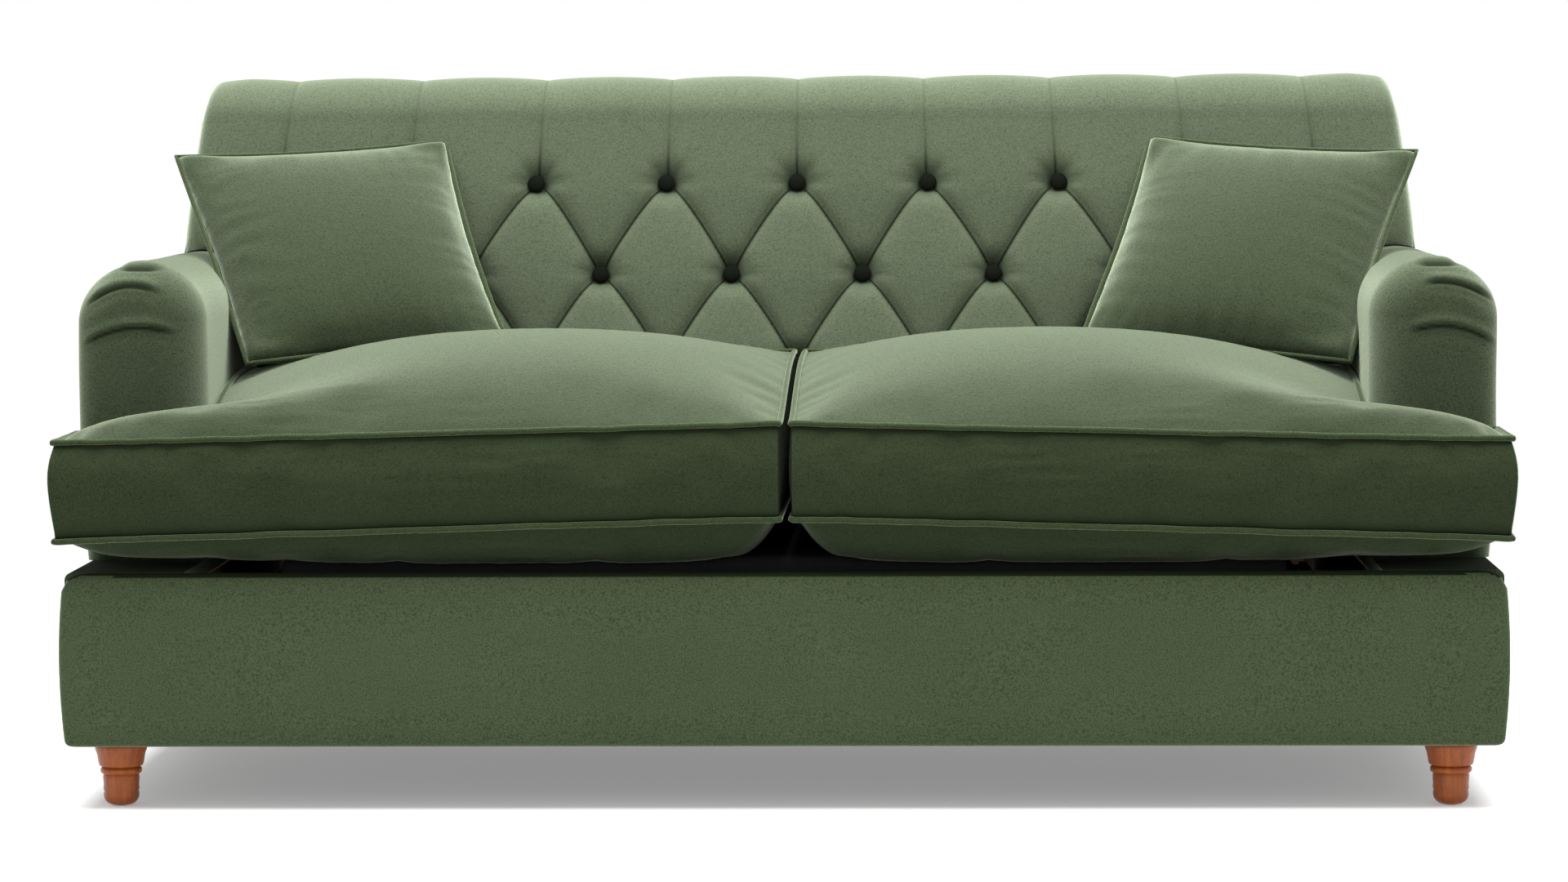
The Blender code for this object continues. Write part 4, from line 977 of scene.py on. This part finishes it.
# How far right of the middle the cushions part, and half the groove between them
SEAT_PARTING = 0.0075
SEAT_GROOVE = 0.0035
# The cage's columns across a cushion from the parting, its rows from the front, and the heights of
# the top face's inner points, row by row
SEAT_XS = (0.0085, 0.055, 0.200, 0.553, 0.780, 0.905, 0.954)
SEAT_YS = (-0.487, -0.432, -0.290, -0.047, 0.196)
SEAT_TOP = ((0.534, 0.546, 0.546, 0.556, 0.530), (0.560, 0.595, 0.595), (0.592, 0.634, 0.635))
ON_TOP, ON_UNDERSIDE, ON_BAND, ON_PARTING = range(4)


def doubled(shape):
    """Copies a sheet in place and returns the copy's points."""
    sheet = [*shape.faces, *shape.edges, *shape.verts]
    return points_in(bmesh.ops.duplicate(shape, geom=sheet)["geom"])


def seat_cage(side):
    """The cushion's cage: a T of panels, doubled, with a band between that can bulge."""
    inner, outer = SEAT_XS[0], SEAT_XS[-1]
    front, ear_rear, rear = SEAT_YS[0], SEAT_YS[2], SEAT_YS[-1]
    beside_arm = SEAT_XS[4]
    columns, rows = len(SEAT_XS) - 1, len(SEAT_YS) - 1
    shape = bmesh.new()
    crease_edges = shape.edges.layers.float.new("crease_edge")
    crease_verts = shape.verts.layers.float.new("crease_vert")
    seam = shape.verts.layers.float.new("seam")
    bmesh.ops.create_grid(shape, x_segments=columns, y_segments=rows, size=0.5)
    for vert in shape.verts:
        column = round((vert.co.x + 0.5) * columns)
        row = round((vert.co.y + 0.5) * rows)
        vert.co = (SEAT_XS[column], SEAT_YS[row], SEAT_LOWER_PIPING)
    middles = {f: f.calc_center_median() for f in shape.faces}
    arm_room = [f for f, middle in middles.items() if middle.x > beside_arm and middle.y > ear_rear]
    bmesh.ops.delete(shape, geom=arm_room, context="FACES")
    for vert in doubled(shape):
        vert.co.z = SEAT_UPPER_PIPING
    rims = [e for e in shape.edges if e.is_boundary]
    walls = bmesh.ops.bridge_loops(shape, edges=rims)["faces"]
    upright = {e for f in walls for e in f.edges if abs(e.verts[0].co.z - e.verts[1].co.z) > 0.01}
    cut = bmesh.ops.subdivide_edges(shape, edges=list(upright), cuts=1, use_grid_fill=True)["geom_inner"]
    waist = set(points_in(cut))
    for edge in rims:
        edge[crease_edges] = 1.0
    sharp = [
        (inner, front), (outer, front), (outer, ear_rear),
        (beside_arm, ear_rear), (beside_arm, rear), (inner, rear),
    ]
    for vert in shape.verts:
        corner = any(math.hypot(vert.co.x - x, vert.co.y - y) < 0.001 for x, y in sharp)
        rim = any(e[crease_edges] > 0.5 for e in vert.link_edges) and vert not in waist
        if rim:
            vert[seam] = 1.0
        if corner and rim:
            vert[crease_verts] = 1.0
        if corner and vert in waist:
            for edge in vert.link_edges:
                if abs(edge.verts[0].co.z - edge.verts[1].co.z) > 0.01:
                    edge[crease_edges] = SEAT_CORNER_CREASE
    for vert in shape.verts:
        if vert in waist:
            continue
        top = vert.co.z > SEAT_WAIST
        column = min(range(len(SEAT_XS)), key=lambda k: abs(SEAT_XS[k] - vert.co.x))
        row = min(range(len(SEAT_YS)), key=lambda k: abs(SEAT_YS[k] - vert.co.y))
        if vert[seam] > 0.5:
            vert.co.z -= SEAT_DROOP * vert.co.x / SEAT_DROOP_SPAN * (1.0 if top else SEAT_UNDER_DROOP)
            if top and row > 2:
                vert.co.z += SEAT_REAR_RISE
            elif top and row == 2 and column == 0:
                vert.co.z += SEAT_STEP_RISE
        elif top:
            vert.co.z = SEAT_TOP[row - 1][column - 1]
        else:
            vert.co.z = SEAT_BELLY_FLOOR - (SEAT_FRONT_SAG if row == 1 else SEAT_BELLY_SAG)
    for vert in waist:
        if abs(vert.co.y - front) < 0.001:
            vert.co.y -= SEAT_FRONT_BULGE
        if abs(vert.co.x - outer) < 0.001:
            vert.co.x += SEAT_END_BULGE
    for face in shape.faces:
        if all(v.co.x < inner + 0.001 for v in face.verts):
            face.material_index = ON_PARTING
        elif all(v.co.z < SEAT_WAIST - 0.02 for v in face.verts):
            face.material_index = ON_UNDERSIDE
        elif any(v in waist for v in face.verts):
            face.material_index = ON_BAND
        else:
            face.material_index = ON_TOP
    bmesh.ops.scale(shape, vec=(side, 1, 1), verts=shape.verts)
    for vert in shape.verts:
        vert.co.x += SEAT_PARTING * (1 - abs(vert.co.x) / outer)
    return shape


for word, side in SIDES:
    cushion = new_piece("t_cushion_" + word, seat_cage(side), seat_velvet)
    # Painted shade: the shaded velvet on the underside, the shadowed one on the parting walls
    for cloth in (shaded_velvet, band_velvet, gap_shade_velvet):
        cushion.data.materials.append(cloth)
    cushion = subdivided(cushion, 4)
    loops = seam_loops(cushion.data)
    held = {v for loop in loops for v in loop}
    lying = [v for v in cushion.data.vertices if v.co.z < seat_rest + LYING_HEIGHT]
    held |= {v.index for v in lying if v.co.y > mattress_front}
    plump(cushion, pressure=4.0, slack=0.003, cap=0.022, stiff=20.0, held=held)
    for vert in cushion.data.vertices:
        support = seat_rest if vert.co.y > mattress_front - LYING_MARGIN else SEAT_BELLY_FLOOR
        vert.co.z = max(vert.co.z, support)
        vert.co.x = side * max(side * vert.co.x, side * SEAT_PARTING + SEAT_GROOVE)
    cushion.data.update()
    lines = sewn_lines(cushion.data, loops, SEAT_PIPING_RADIUS)
    for spot in (spot for line in lines for spot in line):
        spot.x = side * max(side * spot.x, side * SEAT_PARTING + SEAT_GROOVE + SEAT_PIPING_RADIUS)
    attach(cushion, "seat_" + word)
    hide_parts("seat_cushion_" + word)
    cord = piping("t_piping_" + word, lines, SEAT_PIPING_RADIUS, piping_velvet)
    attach(cord, "seat_" + word)


# Scatter cushions: two square feather pads in velvet covers, piped round the edge, leaning in the
# corners between the seat, the arms and the back.
# The scatters' own copy: partly the pile, partly painted light and shade for how the light falls on them.
scatter_velvet = sage_velvet("scatter velvet", 0.34, 1.18, 0.2)
SCATTER_HALF = 0.195
SCATTER_THICK = 0.150
SCATTER_FILL, SCATTER_ROUND = 0.95, 0.8
SCATTER_DRAW = 0.055
SCATTER_TUCK = {"left": 0.022, "right": 0.0}
SCATTER_TURN, SCATTER_LEAN, SCATTER_SPIN = math.radians(18), math.radians(44), math.radians(4)
SCATTER_OUT, SCATTER_UP = 0.008, 0.007
SCATTER_PIPING_RADIUS = 0.0034
SCATTER_CELLS = 44
GATHER_RISE, GATHER_REACH, GATHER_COUNT, GATHER_WANDER = 0.075, 0.16, 34, 9


def gathered(along, inward, seed):
    """Small gathers that die away from a seam, at a place along it and a share of the way to it."""
    wander = GATHER_WANDER * noise.noise(seed)
    return math.exp((abs(inward) - 1) / GATHER_REACH) * math.sin(GATHER_COUNT * along + wander)


for word, side in SIDES:
    low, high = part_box("scatter_cushion_" + word)
    shape = bmesh.new()
    seam = shape.verts.layers.float.new("seam")
    bmesh.ops.create_grid(shape, x_segments=SCATTER_CELLS, y_segments=SCATTER_CELLS, size=1.0)
    behind = set(doubled(shape))
    for vert in shape.verts:
        u, v = vert.co.x, vert.co.y
        vert[seam] = 1.0 if max(abs(u), abs(v)) > 0.999 else 0.0
        full = math.sqrt(max(0.0, (1 - u * u) * (1 - v * v)))
        swell = SCATTER_FILL * SCATTER_THICK / 2 * full ** SCATTER_ROUND * (-1 if vert in behind else 1)
        across = SCATTER_HALF * u * (1 - SCATTER_DRAW * (1 - v * v))
        across += SCATTER_TUCK[word] * ((1 - u) * (1 - v) / 4) ** 2
        up = SCATTER_HALF * v * (1 - SCATTER_DRAW * (1 - u * u))
        gather = gathered(u, v, (3 * u, v, side)) + gathered(v, u, (u, 3 * v, side + 7))
        vert.co = (across, up, swell * (1 + GATHER_RISE * gather))
    stand = Matrix.Rotation(-side * SCATTER_TURN, 4, "Z")
    stand = stand @ Matrix.Rotation(math.pi / 2 - SCATTER_LEAN, 4, "X")
    stand = stand @ Matrix.Rotation(-side * SCATTER_SPIN, 4, "Z")
    middle = (low + high) / 2 + Vector((side * SCATTER_OUT, 0.0, SCATTER_UP))
    bmesh.ops.transform(shape, matrix=Matrix.Translation(middle) @ stand, verts=shape.verts)
    pad = new_piece("scatter_pad_" + word, shape, scatter_velvet, 120)
    loops = seam_loops(pad.data)
    plump(pad, pressure=4.0, slack=0.05, cap=0.010, stiff=0.3)
    pad.data.update()
    lines = sewn_lines(pad.data, loops, SCATTER_PIPING_RADIUS / 2)
    soften = pad.modifiers.new("soften", "SUBSURF")
    soften.levels = soften.render_levels = 1
    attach(pad, "scatter_" + word)
    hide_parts("scatter_cushion_" + word)
    cord = piping("scatter_piping_" + word, lines, SCATTER_PIPING_RADIUS, piping_velvet)
    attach(cord, "scatter_" + word)


# Studio: a plain pale floor that glows faintly, in white surroundings, with a wide soft light
# overhead, a weaker one in front, and a long lens a little right of the middle.
FLOOR_HALF = 3.2
floor_paint = Finish("pale studio floor", Emission_Strength=0.25, Emission_Color=(1.0, 1.0, 1.0, 1.0))
floor_marks = floor_paint.noise(3.0, 3.0)
floor_finish = floor_paint.feed(
    Base_Color=floor_paint.mix(floor_marks, (0.56, 0.56, 0.555, 1.0), (0.60, 0.60, 0.595, 1.0)),
    Roughness=0.75 + floor_marks * 0.1,
)
shape = bmesh.new()
bmesh.ops.create_grid(shape, x_segments=1, y_segments=1, size=FLOOR_HALF)
floor = new_piece("studio_floor", shape, floor_finish)

world = bpy.data.worlds.new("studio")
world.use_nodes = True
surround = world.node_tree.nodes["Background"]
surround.inputs["Color"].default_value = (1.0, 1.0, 1.0, 1.0)
surround.inputs["Strength"].default_value = 1.0
bpy.context.scene.world = world
bpy.context.scene.view_settings.view_transform = "Standard"


def soft_light(name, place, target, size, power):
    """A rectangle of light at a place, turned to a target."""
    light = bpy.data.lights.new(name, "AREA")
    light.shape = "RECTANGLE"
    light.size, light.size_y = size
    light.energy = power
    lamp = bpy.data.objects.new(name, light)
    aim = (Vector(target) - Vector(place)).to_track_quat("-Z", "Y")
    lamp.matrix_world = Matrix.Translation(place) @ aim.to_matrix().to_4x4()
    bpy.context.scene.collection.objects.link(lamp)


soft_light("overhead", (0.0, -0.4, 3.4), (0.0, 0.0, 0.4), (4.5, 3.0), 450.0)
soft_light("front fill", (0.4, -6.0, 2.2), (0.0, 0.0, 0.4), (4.0, 2.0), 15.0)

CAMERA_PLACE = (0.2304, -7.1856, 0.9316)
CAMERA_YAW, CAMERA_PITCH, CAMERA_ROLL = 0.03346, -0.0657, -0.0052
SENSOR_WIDTH = 36.0
FOCAL_PIXELS, PICTURE_PIXELS = 6288.5, 1920
lens = bpy.data.cameras.new("long lens")
lens.sensor_width = SENSOR_WIDTH
lens.lens = FOCAL_PIXELS / PICTURE_PIXELS * SENSOR_WIDTH
camera = bpy.data.objects.new("camera", lens)
turn = Matrix.Rotation(CAMERA_YAW, 4, "Z") @ Matrix.Rotation(math.pi / 2 + CAMERA_PITCH, 4, "X")
camera.matrix_world = Matrix.Translation(CAMERA_PLACE) @ turn @ Matrix.Rotation(CAMERA_ROLL, 4, "Z")
bpy.context.scene.collection.objects.link(camera)
bpy.context.scene.camera = camera
